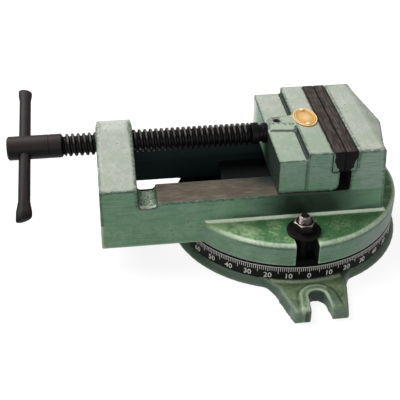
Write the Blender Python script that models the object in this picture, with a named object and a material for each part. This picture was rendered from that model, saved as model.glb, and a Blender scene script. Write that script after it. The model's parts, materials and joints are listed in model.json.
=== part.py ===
"""Swivel drill press vise, modelled as separate pieces.

Metres, +Z up. The screw runs along X, with its handle at -X and the fixed jaw at +X. The origin
lies on the swivel axis, on the underside of the base. The jaws are shut, as in the rest pose.
"""
import math

import bmesh
import bpy
from mathutils import Matrix, Vector

# Clearances and facets
gap = 0.0003                    # between pieces that touch or run on each other
overrun = 0.002                 # how far a cutter passes the face that it cuts
overlap = 0.001                 # how far a joined lump reaches into its neighbour
weld_distance = 0.000001
casting_sides = 64              # facets of the round castings
fitting_sides = 24              # facets of bolts, pins and bores
washer_sides = 32
small_sides = 12                # facets of rivets

# Widths that set the radii of the swivel
body_width = 0.1000
washer_radius = 0.0120
washer_wall_clearance = 0.0068  # between the body's side and the clamp washer
bolt_circle_radius = body_width / 2 + washer_wall_clearance + washer_radius

# Round T-slot of the base
slot_neck = 0.0150
slot_width = 0.0230
slot_lip = 0.0070
slot_floor = 0.0046
slot_outer_wall = 0.0028        # iron between the slot and the band's seat
clamp_head_height = 0.0055
clamp_head_clearance = 0.0015   # room in the slot above and below the bolt's head

# Base casting
band_thickness = 0.0008
band_radius = bolt_circle_radius + slot_width / 2 + slot_outer_wall + gap + band_thickness
rim_step = 0.0011               # the rim stands out this much below the band
rim_radius = band_radius + rim_step
foot_flare = 0.0032
foot_radius = rim_radius + foot_flare
foot_chamfer = 0.0012
rim_height = 0.0060             # top of the painted rim, where the band starts
base_height = slot_floor + clamp_head_height + clamp_head_clearance + slot_lip

# Lugs of the base, each with an open slot for a hold-down bolt
base_turn = 1.6                 # degrees from square, as the base stands in the rest pose
lug_length = 0.0321             # foot to the lug's tip
lug_reach = foot_radius + lug_length
lug_thickness = 0.0098
lug_root_width = 0.0466
lug_tip_width = 0.0368
lug_draft = 0.0014
lug_corner = 0.0025
lug_fillet_length = 0.0095      # foot to where the root starts to widen
lug_fillet_offset = 0.0005      # foot to the fillet's bend
lug_fillet_width = 0.0700       # across both fillets, where they meet the foot
lug_slot_offset = 0.0125        # foot to the bottom of the slot
lug_fillet_reach = foot_radius + lug_fillet_length
lug_fillet_bend = foot_radius + lug_fillet_offset
lug_slot_reach = foot_radius + lug_slot_offset
lug_slot_width = 0.0124
lug_slot_mouth = 0.0154
pad_margin = 0.0064
pad_rise = 0.0014
dip_length = 0.0110             # run of the slope by which the lug's top falls to the band
dip_depth = 0.0028
dip_start = band_radius + gap

# Pivot pin
pin_radius = 0.0080
pin_chamfer = 0.0010
pin_top_wall = 0.0038           # iron left above the pin's bore, under the channel

# Vise body casting: heights, each from the level below
flange_radius = band_radius + gap
flange_round = 0.0016
flange_thickness = 0.0181
face_rise = 0.0004              # the body's underside lies this much above the flange's face
rail_rise = 0.0196              # flange top to ways
shoulder_rise = 0.0114          # ways to the foot of the nut bracket's slopes
jaw_rise = 0.0319               # ways to the jaws' top
screw_rise = 0.0214             # ways to the screw's axis
step_drop = 0.0051              # upper to lower step of the movable jaw

# Vise body casting: lengths and widths
left_reach = 0.1400             # swivel axis to the end of the body
left_draft = 0.0012
bracket_thickness = 0.0263
bracket_boss_radius = 0.0144
bracket_round = 0.0030
relief_width = 0.0134           # groove between the bracket and the ways
relief_depth = 0.0036
relief_round = 0.0030
channel_width = 0.0502          # between the rails, at the ways
undercut_width = 0.0688         # between the rails, below their ledges
ledge_thickness = 0.0126
channel_floor_drop = 0.0040     # flange top to the channel's floor
channel_floor_reach = 0.0450    # swivel axis to the floor's left edge, which is open beyond
channel_end = 0.0295            # swivel axis to the channel's end, under the jaws
hollow_wall = 0.0100            # end wall of the hollow under the bracket

# Jaws
grip_reach = 0.0306             # swivel axis to the plane where the jaws meet
plate_thickness = 0.0084
plate_height = 0.0160
fixed_jaw_depth = 0.0200
fixed_toe = 0.0036              # casting under the fixed plate, forward of its seat
back_draft = 0.0045
back_bevel = 0.0026
back_bevel_drop = 0.0008
buttress_reach = 0.0106
buttress_drop = 0.0062
buttress_width = 0.0840         # where it leaves the back of the jaw
buttress_nose_width = 0.0040
junction_fillet = 0.0018        # between the body's sides and the flange
upper_step_depth = 0.0170
lower_step_depth = 0.0207
movable_toe = 0.0060
toe_round = 0.0050
step_side_inset = 0.0008        # the lower step is this much narrower on each side

# Tongue and keeper of the movable jaw
tongue_inset = 0.0040
keeper_thickness = 0.0060
keeper_inset = 0.0020
keeper_screw_spacing = 0.0280

# Raised land over the screw's journal, on the lower step
land_front_width = 0.0150
land_back_width = 0.0200
land_drop = 0.0004
land_taper = 0.0030
land_front_draft = 0.0006

# Lead screw
thread_radius = 0.0082
thread_depth = 0.0019
thread_pitch = 0.0040
thread_sides = 12               # facets in each turn
thread_flat_share = 1 / 3       # of the pitch, at the root and at the crest
thread_flank_share = 1 / 6
spare_turns = 2                 # cut off at each end
head_radius = 0.0086
head_length = 0.0390
head_chamfer = 0.0010
shoulder_clearance = 0.0239     # body end to the screw's head
thread_end_clearance = 0.0110   # end of the thread to the movable jaw
collar_length = 0.0052
collar_radius = 0.0080
neck_radius = 0.0062
thrust_radius = 0.0074
thrust_length = 0.0026
journal_radius = 0.0060
journal_length = 0.0240
groove_radius = 0.0042
groove_reach = 0.0078           # jaw face to the middle of the journal's groove
groove_length = 0.0058

# Tommy bar
bar_radius = 0.0042
bar_lean = 70.0                 # degrees from upright, its upper end away from the front
bar_end_clearance = 0.0120      # end of the head to the bar's axis
bar_above = 0.0550              # screw axis to the bar's upper end
bar_below = 0.0640
bar_upper_swage = 0.0110
bar_lower_swage = 0.0165
upper_swage_half_width = 0.0050
lower_swage_half_width = 0.0055
swage_half_thickness = 0.0034
swage_tip_share = 2 / 3         # of the half thickness, at the very end
swage_near_share = 1 / 8        # of the lower swage's length, where it is widest
swage_far_share = 1 / 6         # likewise on the upper swage
bar_sides = 16

# Fasteners
clamp_bolt_radius = 0.0040
clamp_head_width = 0.0190
clamp_bolt_end = 0.0047         # the bolt stands this much above its nut
clamp_chamfer = 0.0006
clamp_slot_width = 0.0154
washer_thickness = 0.0022
washer_hole_radius = 0.0045
nut_across_flats = 0.0130
nut_height = 0.0065
nut_chamfer = 0.0006
plate_screw_spacing = 0.0600
cap_head_radius = 0.0042
cap_head_length = 0.0046
cap_shank_radius = 0.0025
cap_shank_length = 0.0110
socket_across_flats = 0.0040
socket_depth = 0.0024
keeper_head_length = 0.0028
keeper_shank_length = 0.0140
retainer_radius = 0.0024
retainer_recess = 0.0006
driver_slot_width = 0.0009
driver_slot_depth = 0.0012

# Oval badge
badge_length = 0.0262
badge_width = 0.0172
badge_thickness = 0.0006
badge_offset = 0.0082           # step edge to the badge's middle
rivet_spacing = 0.0208
rivet_radius = 0.0010
rivet_head_radius = 0.0017
rivet_head_height = 0.0007
rivet_depth = 0.0035
rivet_rim_share = 1 / 3         # of the head's height
rivet_crown_share = 1 / 2       # of the head's radius

# Levels and places worked out from the sizes above
flange_low = base_height + gap
flange_top = flange_low + flange_thickness
body_low = flange_low + face_rise
way_level = flange_top + rail_rise
shoulder_level = way_level + shoulder_rise
jaw_top = way_level + jaw_rise
step_level = jaw_top - step_drop
screw_level = way_level + screw_rise
ledge_level = way_level - ledge_thickness
channel_floor = flange_top - channel_floor_drop
plate_low = jaw_top - plate_height
half_width = body_width / 2
body_left = -left_reach
bracket_face = body_left + bracket_thickness
way_start = bracket_face + relief_width
fixed_plate_face = grip_reach + gap / 2
fixed_seat = fixed_plate_face + plate_thickness + gap
fixed_back = fixed_seat + fixed_jaw_depth
fixed_face = fixed_seat - fixed_toe
movable_plate_face = grip_reach - gap / 2
movable_seat = movable_plate_face - plate_thickness - gap
movable_face = movable_seat + movable_toe
step_edge = movable_seat - upper_step_depth
movable_left = step_edge - lower_step_depth
journal_bore_end = movable_left + journal_length + gap
groove_middle = movable_left + groove_reach
thread_start = body_left - shoulder_clearance
thread_end = movable_left - thread_end_clearance
head_start = thread_start - head_length
bar_place = head_start + bar_end_clearance
washer_low = flange_top + gap
nut_low = washer_low + washer_thickness + gap
clamp_bolt_height = nut_low + nut_height + clamp_bolt_end
slot_top = base_height - slot_lip
plate_screw_level = plate_low + plate_height / 2


def clear_scene():
    """Start from an empty scene."""
    for obj in list(bpy.data.objects):
        bpy.data.objects.remove(obj, do_unlink=True)


def finish(name, color, roughness, metallic):
    """Make one plain material."""
    material = bpy.data.materials.new(name)
    material.use_nodes = True
    material.diffuse_color = (*color, 1)
    shader = material.node_tree.nodes["Principled BSDF"]
    shader.inputs["Base Color"].default_value = (*color, 1)
    shader.inputs["Roughness"].default_value = roughness
    shader.inputs["Metallic"].default_value = metallic
    return material


def make_finishes():
    """The finishes of the vise, by name."""
    return {
        "paint": finish("green_paint", (0.13, 0.26, 0.18), 0.5, 0),
        "black": finish("black_steel", (0.02, 0.018, 0.018), 0.35, 0.6),
        "plate": finish("jaw_plate_steel", (0.06, 0.055, 0.055), 0.4, 0.7),
        "band": finish("band_black", (0.015, 0.015, 0.015), 0.45, 0),
        "brass": finish("brass", (0.80, 0.52, 0.16), 0.35, 1),
    }


def to_object(name, bm, material=None):
    """Put a bmesh into the scene as an object with its faces pointing out."""
    bmesh.ops.recalc_face_normals(bm, faces=bm.faces)
    mesh = bpy.data.meshes.new(name)
    bm.to_mesh(mesh)
    bm.free()
    if material:
        mesh.materials.append(material)
    obj = bpy.data.objects.new(name, mesh)
    bpy.context.scene.collection.objects.link(obj)
    return obj


def point_along(axis, across, level):
    """A point at a level along an axis, from its two coordinates across that axis."""
    first, second = across
    places = {"X": (level, first, second), "Y": (first, level, second), "Z": (first, second, level)}
    return Vector(places[axis])


def prism(name, outline, low, high, axis="Z", material=None):
    """Extrude a closed outline along an axis."""
    bm = bmesh.new()
    verts = [bm.verts.new(point_along(axis, point, low)) for point in outline]
    face = bm.faces.new(verts)
    made = bmesh.ops.extrude_face_region(bm, geom=[face])
    moved = [item for item in made["geom"] if isinstance(item, bmesh.types.BMVert)]
    bmesh.ops.translate(bm, verts=moved, vec=point_along(axis, (0, 0), high - low))
    return to_object(name, bm, material)


def block(name, low, high, material=None):
    """A box between two corners."""
    outline = [(low[0], low[1]), (high[0], low[1]), (high[0], high[1]), (low[0], high[1])]
    return prism(name, outline, low[2], high[2], "Z", material)


def turned(name, profile, axis="Z", centre=(0, 0, 0), sides=fitting_sides, material=None):
    """Spin a closed profile of (radius, level) points about an axis."""
    bm = bmesh.new()
    verts = [bm.verts.new((radius, 0, level)) for radius, level in profile]
    edges = []
    for before, after in zip(verts, verts[1:] + verts[:1]):
        if before.co.x > 0 or after.co.x > 0:
            edges.append(bm.edges.new((before, after)))
    bmesh.ops.spin(bm, geom=verts + edges, cent=(0, 0, 0), axis=(0, 0, 1),
                   angle=2 * math.pi, steps=sides, use_merge=True)
    bmesh.ops.remove_doubles(bm, verts=bm.verts, dist=weld_distance)
    turns = {"X": Matrix.Rotation(math.pi / 2, 4, "Y"),
             "Y": Matrix.Rotation(-math.pi / 2, 4, "X"),
             "Z": Matrix.Identity(4)}
    bm.transform(Matrix.Translation(centre) @ turns[axis])
    return to_object(name, bm, material)


def rod(name, radius, low, high, axis="Z", centre=(0, 0, 0), sides=fitting_sides, chamfer=0,
        material=None):
    """A round bar along an axis, with its ends chamfered."""
    ends = [(radius, low), (radius, high)]
    if chamfer:
        ends = [(radius - chamfer, low), (radius, low + chamfer),
                (radius, high - chamfer), (radius - chamfer, high)]
    return turned(name, [(0, low), *ends, (0, high)], axis, centre, sides, material)


def hull(name, points, material=None):
    """The smallest convex solid around some points."""
    bm = bmesh.new()
    for point in points:
        bm.verts.new(point)
    bmesh.ops.convex_hull(bm, input=bm.verts)
    return to_object(name, bm, material)


def lofted(name, stations, sides, material=None):
    """Bridge oval rings, each given as (centre, half size along X, half size along Y)."""
    bm = bmesh.new()
    rings = []
    for centre, half_x, half_y in stations:
        ring = []
        for side in range(sides):
            angle = 2 * math.pi * side / sides
            offset = Vector((half_x * math.cos(angle), half_y * math.sin(angle), 0))
            ring.append(bm.verts.new(Vector(centre) + offset))
        rings.append(ring)
    for lower, upper in zip(rings, rings[1:]):
        for side in range(sides):
            after = (side + 1) % sides
            bm.faces.new((lower[side], lower[after], upper[after], upper[side]))
    bm.faces.new(rings[0])
    bm.faces.new(rings[-1])
    return to_object(name, bm, material)


def combine(target, tool, operation):
    """Join a second solid to the first, or cut it out, and drop the second."""
    change = target.modifiers.new(operation.lower(), "BOOLEAN")
    change.operation = operation
    change.object = tool
    depsgraph = bpy.context.evaluated_depsgraph_get()
    changed = bpy.data.meshes.new_from_object(target.evaluated_get(depsgraph))
    target.modifiers.clear()
    target.data = changed
    bpy.data.objects.remove(tool, do_unlink=True)
    return target


def join(target, *lumps):
    """Join lumps to a solid."""
    for lump in lumps:
        combine(target, lump, "UNION")
    return target


def cut(target, *cutters):
    """Cut shapes out of a solid."""
    for cutter in cutters:
        combine(target, cutter, "DIFFERENCE")
    return target


def shade(obj, angle=math.radians(30)):
    """Shade the round faces smooth."""
    obj.data.shade_smooth()
    obj.data.set_sharp_from_angle(angle=angle)
    return obj


def arc(centre, radius, start, end, steps):
    """Points on an arc, angles in degrees."""
    points = []
    for step in range(steps + 1):
        angle = math.radians(start + (end - start) * step / steps)
        points.append((centre[0] + radius * math.cos(angle), centre[1] + radius * math.sin(angle)))
    return points


def hexagon(across_flats):
    """Corners of a hexagon about the origin."""
    return arc((0, 0), across_flats / 2 / math.cos(math.pi / 6), 0, 300, 5)


def open_slot(inner_reach, width, mouth, outer_reach, side):
    """Outline of a slot with a round bottom that opens outwards, on the -Y or +Y side."""
    radius = width / 2
    centre = inner_reach + radius
    bottom = arc((0, -centre), radius, 180, 0, 8)
    outline = [*bottom, (mouth / 2, -outer_reach), (-mouth / 2, -outer_reach)]
    return [(x * side, y * side) for x, y in outline]


def curve(start, bend, end, steps):
    """Points on a smooth curve that leaves its start and reaches its end towards a bend."""
    points = []
    for step in range(steps + 1):
        way = step / steps
        first, second, third = (1 - way) ** 2, 2 * way * (1 - way), way ** 2
        points.append((first * start[0] + second * bend[0] + third * end[0],
                       first * start[1] + second * bend[1] + third * end[1]))
    return points


def lug_outline(side, spread):
    """Plan of one lug, widened by its draft, with rounded tips and fillets at its root."""
    half_root = lug_root_width / 2 + spread
    half_tip = lug_tip_width / 2 + spread
    half_fillet = lug_fillet_width / 2 + spread
    depth = math.sqrt(rim_radius ** 2 - half_fillet ** 2) - lug_corner
    centre = lug_reach - lug_corner
    right = [*arc((half_tip - lug_corner, -centre), lug_corner, 270, 360, 3),
             *curve((half_root, -lug_fillet_reach), (half_root, -lug_fillet_bend),
                    (half_fillet, -depth), 5)]
    left = [(-x, y) for x, y in reversed(right)]
    return [(x * side, y * side) for x, y in [*right, *left]]


def tapered(name, lower, upper, low, high):
    """A solid between two outlines with the same number of points."""
    bm = bmesh.new()
    bottom = [bm.verts.new((x, y, low)) for x, y in lower]
    top = [bm.verts.new((x, y, high)) for x, y in upper]
    count = len(lower)
    for index in range(count):
        after = (index + 1) % count
        bm.faces.new((bottom[index], bottom[after], top[after], top[index]))
    bm.faces.new(bottom)
    bm.faces.new(top)
    return to_object(name, bm)


def make_lug(side):
    """One slotted lug with its raised pad. Its top falls towards the band. Side 1 is the front."""
    lug = tapered("lug", lug_outline(side, lug_draft), lug_outline(side, 0), 0, lug_thickness)
    pad_low = lug_thickness - overlap
    dip_low = lug_thickness - dip_depth
    past_dip = lug_thickness + overrun * dip_depth / dip_length
    reach = dip_start + dip_length + overrun
    seat_low = rim_height - overlap
    cut(lug, turned("dip", [(0, seat_low), (dip_start, seat_low), (dip_start, dip_low),
                            (reach, past_dip), (reach, base_height), (0, base_height)],
                    sides=casting_sides))
    pad_inner = lug_slot_reach - pad_margin
    pad_width = lug_slot_width + 2 * pad_margin
    pad_mouth = lug_slot_mouth + 2 * pad_margin
    pad_reach = lug_reach - lug_corner / 2
    pad_plan = open_slot(pad_inner, pad_width, pad_mouth, pad_reach, side)
    join(lug, prism("pad", pad_plan, pad_low, lug_thickness + pad_rise))
    through = open_slot(lug_slot_reach, lug_slot_width, lug_slot_mouth, lug_reach + overrun, side)
    cut(lug, prism("lug_slot", through, -overrun, base_height))
    return lug


def ring_profile(inner, outer, low, high):
    """Profile of a plain ring."""
    return [(inner, low), (outer, low), (outer, high), (inner, high)]


def make_base(finishes):
    """Base casting: foot, seat of the degree band, T-slot, pivot bore and two lugs."""
    seat_radius = band_radius - band_thickness - gap
    base = turned("swivel_base", [
        (0, 0), (foot_radius - foot_chamfer, 0), (foot_radius, foot_chamfer),
        (rim_radius, rim_height), (seat_radius, rim_height), (seat_radius, base_height),
        (0, base_height)], sides=casting_sides, material=finishes["paint"])
    join(base, make_lug(1), make_lug(-1))
    inner = bolt_circle_radius - slot_width / 2
    outer = bolt_circle_radius + slot_width / 2
    neck_inner = bolt_circle_radius - slot_neck / 2
    neck_outer = bolt_circle_radius + slot_neck / 2
    t_slot = turned("t_slot", [
        (inner, slot_floor), (outer, slot_floor), (outer, slot_top), (neck_outer, slot_top),
        (neck_outer, base_height + overrun), (neck_inner, base_height + overrun),
        (neck_inner, slot_top), (inner, slot_top)], sides=casting_sides)
    entry_half = clamp_head_width / 2 + gap * 2
    entry = block("bolt_entry", (-bolt_circle_radius - entry_half, -entry_half, slot_floor + overlap),
                  (-bolt_circle_radius + entry_half, entry_half, base_height + overrun))
    bore = rod("pivot_bore", pin_radius + gap, slot_floor, base_height + overrun)
    cut(base, t_slot, entry, bore)
    base.data.transform(Matrix.Rotation(math.radians(base_turn), 4, "Z"))
    return shade(base)


def make_band(finishes):
    """Degree band round the base."""
    inner = band_radius - band_thickness
    profile = ring_profile(inner, band_radius, rim_height + gap, base_height)
    band = turned("degree_band", profile, sides=casting_sides, material=finishes["band"])
    return shade(band)


def make_pivot_pin(finishes):
    """Pin on which the body swivels, half in the base and half in the body."""
    top = channel_floor - pin_top_wall - gap
    pin = rod("pivot_pin", pin_radius, slot_floor + gap, top, chamfer=pin_chamfer,
              material=finishes["black"])
    return shade(pin)


def body_side_outline():
    """Side view of the body: end block, relief groove, ways and fixed jaw."""
    relief_level = way_level - relief_depth
    start = bracket_face + relief_round
    end = way_start - relief_round
    groove = [*arc((start, relief_level + relief_round), relief_round, 180, 270, 3),
              *arc((end, relief_level + relief_round), relief_round, 270, 360, 3)]
    return [(body_left - left_draft, body_low), (body_left, shoulder_level),
            (bracket_face, shoulder_level), *groove, (way_start, way_level),
            (fixed_face, way_level), (fixed_face, plate_low - gap), (fixed_seat, plate_low - gap),
            (fixed_seat, jaw_top), (fixed_back - back_bevel, jaw_top),
            (fixed_back, jaw_top - back_bevel_drop), (fixed_back + back_draft, body_low)]


def bracket_outline():
    """End view of the nut bracket: slopes that run up to a round boss about the screw."""
    level_gap = screw_level - shoulder_level
    distance = math.hypot(half_width, level_gap)
    slope = math.atan2(level_gap, half_width) + math.asin(bracket_boss_radius / distance)
    start = 90 - math.degrees(slope)
    boss = arc((0, screw_level), bracket_boss_radius, start, 180 - start, 12)
    low = shoulder_level - overlap
    return [(half_width, low), (half_width, shoulder_level), *boss,
            (-half_width, shoulder_level), (-half_width, low)]


def make_bracket():
    """Nut bracket above the body's shoulder, with rounded end edges."""
    outline = bracket_outline()
    inset = bracket_round * (1 - math.cos(math.pi / 4))
    centre = Vector((0, screw_level))
    bm = bmesh.new()
    rings = []
    stations = [(body_left, bracket_round), (body_left + inset, inset),
                (body_left + bracket_round, 0), (bracket_face - bracket_round, 0),
                (bracket_face - inset, inset), (bracket_face, bracket_round)]
    reach = half_width - bracket_boss_radius
    for place, shrink in stations:
        ring = []
        for y, z in outline:
            sink = shrink * min(1, (half_width - abs(y)) / reach)
            toward = (Vector((y, z)) - centre).normalized()
            flat = Vector((y, z)) - toward * sink
            level = z if z <= shoulder_level else flat.y
            ring.append(bm.verts.new((place, flat.x, level)))
        rings.append(ring)
    count = len(outline)
    for before, after in zip(rings, rings[1:]):
        for index in range(count):
            following = (index + 1) % count
            bm.faces.new((before[index], before[following], after[following], after[index]))
    bm.faces.new(rings[0])
    bm.faces.new(rings[-1])
    return to_object("bracket", bm)


def make_buttress():
    """Buttress behind the fixed jaw, which falls away to a blunt nose."""
    low = flange_top - overlap
    nose = fixed_back + buttress_reach
    nose_level = jaw_top - buttress_drop
    top = jaw_top - back_bevel_drop
    front = fixed_back - overlap
    points = []
    for side in (-1, 1):
        root = side * buttress_width / 2
        tip = side * buttress_nose_width / 2
        points += [(front, root, top), (fixed_back, root, top), (front, root, low),
                   (fixed_back + back_draft, root, low), (nose, tip, nose_level),
                   (nose + back_draft, tip, low)]
    return hull("buttress", points)


def make_junction_fillet(side):
    """Fillet between one side of the body and the top of the flange."""
    wall = side * (half_width - overlap)
    outer = side * (half_width + junction_fillet)
    low = flange_top - overlap
    outline = [(wall, low), (outer, low), (outer, flange_top),
               (side * half_width, flange_top + junction_fillet),
               (wall, flange_top + junction_fillet)]
    reach = flange_radius - flange_round
    fillet = prism("fillet", outline, -reach, fixed_back + back_draft, "X")
    return combine(fillet, rod("disc", reach, low - overlap, jaw_top, sides=casting_sides),
                   "INTERSECT")


def clamp_slot_cutter(side):
    """Open slot of the flange for one clamp bolt."""
    inner = bolt_circle_radius - clamp_slot_width / 2
    outline = open_slot(inner, clamp_slot_width, clamp_slot_width, flange_radius + overrun, side)
    return prism("clamp_slot", outline, flange_low - overrun, flange_top + overrun)


def cap_screw_hole(name, face, seat, y, direction):
    """Counterbored hole for one cap screw, from the face of a jaw plate into its casting."""
    shank_end = seat + direction * (cap_shank_length + gap)
    outer = face - direction * overrun
    head_end = face + direction * (cap_head_length + gap * 2)
    levels = [outer, head_end, shank_end]
    head = cap_head_radius + gap
    shank = cap_shank_radius + gap
    profile = [(0, levels[0]), (head, levels[0]), (head, levels[1]), (shank, levels[1]),
               (shank, levels[2]), (0, levels[2])]
    return turned(name, profile, "X", (0, y, plate_screw_level))


def make_body(finishes):
    """Vise body casting with its rails, bracket, fixed jaw and flange."""
    body = prism("vise_body", body_side_outline(), -half_width, half_width, "Y", finishes["paint"])
    narrow_half = channel_width / 2
    wide_half = undercut_width / 2
    narrow = block("channel", (bracket_face, -narrow_half, body_low - overrun),
                   (channel_end, narrow_half, way_level + overrun))
    wide = block("undercut", (body_left + hollow_wall, -wide_half, body_low - overrun),
                 (channel_end, wide_half, ledge_level))
    cut(body, narrow, wide)
    flange = turned("flange", [
        (0, flange_low), (flange_radius, flange_low), (flange_radius, flange_top - flange_round),
        (flange_radius - flange_round, flange_top), (0, flange_top)], sides=casting_sides)
    cut(flange, block("floor_cut", (-flange_radius - overrun, -wide_half, channel_floor),
                      (channel_end, wide_half, flange_top + overrun)),
        block("floor_opening", (-flange_radius - overrun, -wide_half, flange_low - overrun),
              (-channel_floor_reach, wide_half, flange_top + overrun)))
    join(body, flange, make_bracket(), make_buttress(), make_junction_fillet(1),
         make_junction_fillet(-1))
    cut(body, clamp_slot_cutter(1), clamp_slot_cutter(-1))
    cut(body, rod("pivot_socket", pin_radius + gap, flange_low - overrun, channel_floor - pin_top_wall))
    cut(body, rod("nut_bore", thread_radius + gap, body_left - left_draft - overrun,
                  bracket_face + overrun, "X", (0, 0, screw_level)))
    for side in (-1, 1):
        place = side * plate_screw_spacing / 2
        cut(body, cap_screw_hole("fixed_screw_hole", fixed_plate_face, fixed_seat, place, 1))
    return shade(body)


def make_plate(name, face, direction, seat, finishes):
    """One hardened jaw plate with two counterbored holes."""
    back = face + direction * plate_thickness
    half_length = half_width - gap
    plate = block(name, (min(face, back), -half_length, plate_low),
                  (max(face, back), half_length, jaw_top), finishes["plate"])
    for side in (-1, 1):
        place = side * plate_screw_spacing / 2
        cut(plate, cap_screw_hole("plate_hole", face, seat, place, direction))
    return shade(plate)


def hex_socket(across_flats, depth, mouth, direction, axis, centre):
    """Cutter for a hexagonal socket whose mouth lies at a level along an axis."""
    across = [(a + centre[0], b + centre[1]) for a, b in hexagon(across_flats)]
    ends = sorted((mouth - direction * overrun, mouth + direction * depth))
    return prism("socket", across, ends[0], ends[1], axis)


def make_cap_screw(name, face, seat, y, direction, finishes):
    """One socket cap screw that holds a jaw plate."""
    head_top = face + direction * gap
    head_end = head_top + direction * cap_head_length
    tip = seat + direction * cap_shank_length
    profile = [(0, head_top), (cap_head_radius, head_top), (cap_head_radius, head_end),
               (cap_shank_radius, head_end), (cap_shank_radius, tip), (0, tip)]
    screw = turned(name, profile, "X", (0, y, plate_screw_level), material=finishes["black"])
    cut(screw, hex_socket(socket_across_flats, socket_depth, head_top, direction, "X",
                          (y, plate_screw_level)))
    return shade(screw)


def movable_side_outline():
    """Side view of the movable jaw."""
    low = way_level + gap
    toe = arc((movable_face - toe_round, low + toe_round), toe_round, 270, 360, 4)
    return [(movable_left, low), *toe, (movable_face, plate_low - gap),
            (movable_seat, plate_low - gap), (movable_seat, jaw_top), (step_edge, jaw_top),
            (step_edge, step_level), (movable_left, step_level)]


def make_land():
    """Raised land over the screw's journal, wider towards the upper step."""
    top = jaw_top - land_drop
    low = step_level - overlap
    points = []
    for side in (-1, 1):
        front = side * land_front_width / 2
        back = side * land_back_width / 2
        points += [(movable_left + land_front_draft, front, low),
                   (movable_left + land_front_draft * 2, front - side * land_taper, top),
                   (step_edge + overlap, back, low),
                   (step_edge + overlap, back - side * land_taper, top)]
    return hull("land", points)


def make_movable_jaw(finishes):
    """Movable jaw casting with its tongue, land, journal bore and fastener holes."""
    jaw = prism("movable_jaw", movable_side_outline(), -half_width, half_width, "Y",
                finishes["paint"])
    tongue_half = channel_width / 2 - gap
    tongue = block("tongue", (movable_left + tongue_inset, -tongue_half, ledge_level),
                   (movable_face - toe_round - tongue_inset / 2, tongue_half,
                    way_level + gap + overlap))
    join(jaw, tongue, make_land())
    for side in (-1, 1):
        near, far = sorted((side * (half_width - step_side_inset), side * (half_width + overrun)))
        cut(jaw, block("step_side", (movable_left - overrun, near, way_level - overrun),
                       (step_edge, far, jaw_top + overrun)))
    cut(jaw, rod("journal_bore", journal_radius + gap, movable_left - overrun, journal_bore_end,
                 "X", (0, 0, screw_level)))
    cut(jaw, rod("retainer_hole", retainer_radius + gap, screw_level, jaw_top + overrun,
                 centre=(groove_middle, 0, 0)))
    for side in (-1, 1):
        place = side * plate_screw_spacing / 2
        cut(jaw, cap_screw_hole("movable_screw_hole", movable_plate_face, movable_seat, place, -1))
        cut(jaw, rod("keeper_screw_hole", cap_shank_radius + gap, ledge_level - overrun,
                     keeper_low() + keeper_shank_length + gap,
                     centre=(keeper_middle(), side * keeper_screw_spacing / 2, 0)))
        cut(jaw, rod("rivet_hole", rivet_radius + gap, jaw_top - rivet_depth, jaw_top + overrun,
                     centre=(badge_middle(), side * rivet_spacing / 2, 0)))
    return shade(jaw)


def keeper_low():
    """Level of the keeper's underside."""
    return ledge_level - gap - keeper_thickness


def keeper_span():
    """Ends of the keeper along X."""
    start = movable_left + tongue_inset + keeper_inset
    end = movable_face - toe_round - tongue_inset / 2 - keeper_inset
    return start, end


def keeper_middle():
    """Place of the keeper's screws along X."""
    start, end = keeper_span()
    return (start + end) / 2


def badge_middle():
    """Place of the badge along X."""
    return step_edge + badge_offset


def make_keeper(finishes):
    """Keeper plate under the tongue, which hooks below the rails' ledges."""
    start, end = keeper_span()
    half = undercut_width / 2 - gap
    keeper = block("jaw_keeper_plate", (start, -half, keeper_low()),
                   (end, half, ledge_level - gap), finishes["black"])
    for side in (-1, 1):
        cut(keeper, rod("keeper_hole", cap_shank_radius + gap, keeper_low() - overrun, ledge_level,
                        centre=(keeper_middle(), side * keeper_screw_spacing / 2, 0)))
    return shade(keeper)


def make_keeper_screw(name, side, finishes):
    """One low-headed screw that holds the keeper from below."""
    head_top = keeper_low() - gap
    head_low = head_top - keeper_head_length
    tip = keeper_low() + keeper_shank_length
    place = (keeper_middle(), side * keeper_screw_spacing / 2)
    profile = [(0, head_low), (cap_head_radius, head_low), (cap_head_radius, head_top),
               (cap_shank_radius, head_top), (cap_shank_radius, tip), (0, tip)]
    screw = turned(name, profile, "Z", (*place, 0), material=finishes["black"])
    depth = keeper_head_length / 2
    cut(screw, hex_socket(socket_across_flats, depth, head_low, 1, "Z", place))
    return shade(screw)


def make_retainer(finishes):
    """Slotted grub screw that keeps the lead screw's journal in the jaw."""
    low = screw_level + groove_radius + gap
    top = jaw_top - land_drop - retainer_recess
    retainer = rod("screw_retainer", retainer_radius, low, top, centre=(groove_middle, 0, 0),
                   material=finishes["black"])
    half_slot = driver_slot_width / 2
    reach = retainer_radius + overrun
    cut(retainer, block("driver_slot", (groove_middle - reach, -half_slot, top - driver_slot_depth),
                        (groove_middle + reach, half_slot, top + overrun)))
    return shade(retainer)


def make_badge(finishes):
    """Oval brass badge, left bare."""
    low = jaw_top + gap
    middle = badge_middle()
    outline = []
    for x, y in arc((0, 0), 1, 0, 345, 23):
        outline.append((middle + x * badge_width / 2, y * badge_length / 2))
    badge = prism("oval_badge", outline, low, low + badge_thickness, "Z", finishes["brass"])
    for side in (-1, 1):
        cut(badge, rod("badge_hole", rivet_radius + gap, low - overrun,
                       low + badge_thickness + overrun,
                       centre=(middle, side * rivet_spacing / 2, 0), sides=small_sides))
    return shade(badge)


def make_rivet(name, side, finishes):
    """One round-headed drive rivet of the badge."""
    head_low = jaw_top + gap + badge_thickness + gap
    head_top = head_low + rivet_head_height
    rim_level = head_low + rivet_head_height * rivet_rim_share
    tip = jaw_top - rivet_depth + gap
    profile = [(0, tip), (rivet_radius, tip), (rivet_radius, head_low),
               (rivet_head_radius, head_low), (rivet_head_radius, rim_level),
               (rivet_head_radius * rivet_crown_share, head_top), (0, head_top)]
    place = (badge_middle(), side * rivet_spacing / 2, 0)
    return shade(turned(name, profile, "Z", place, small_sides, finishes["brass"]))


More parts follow.
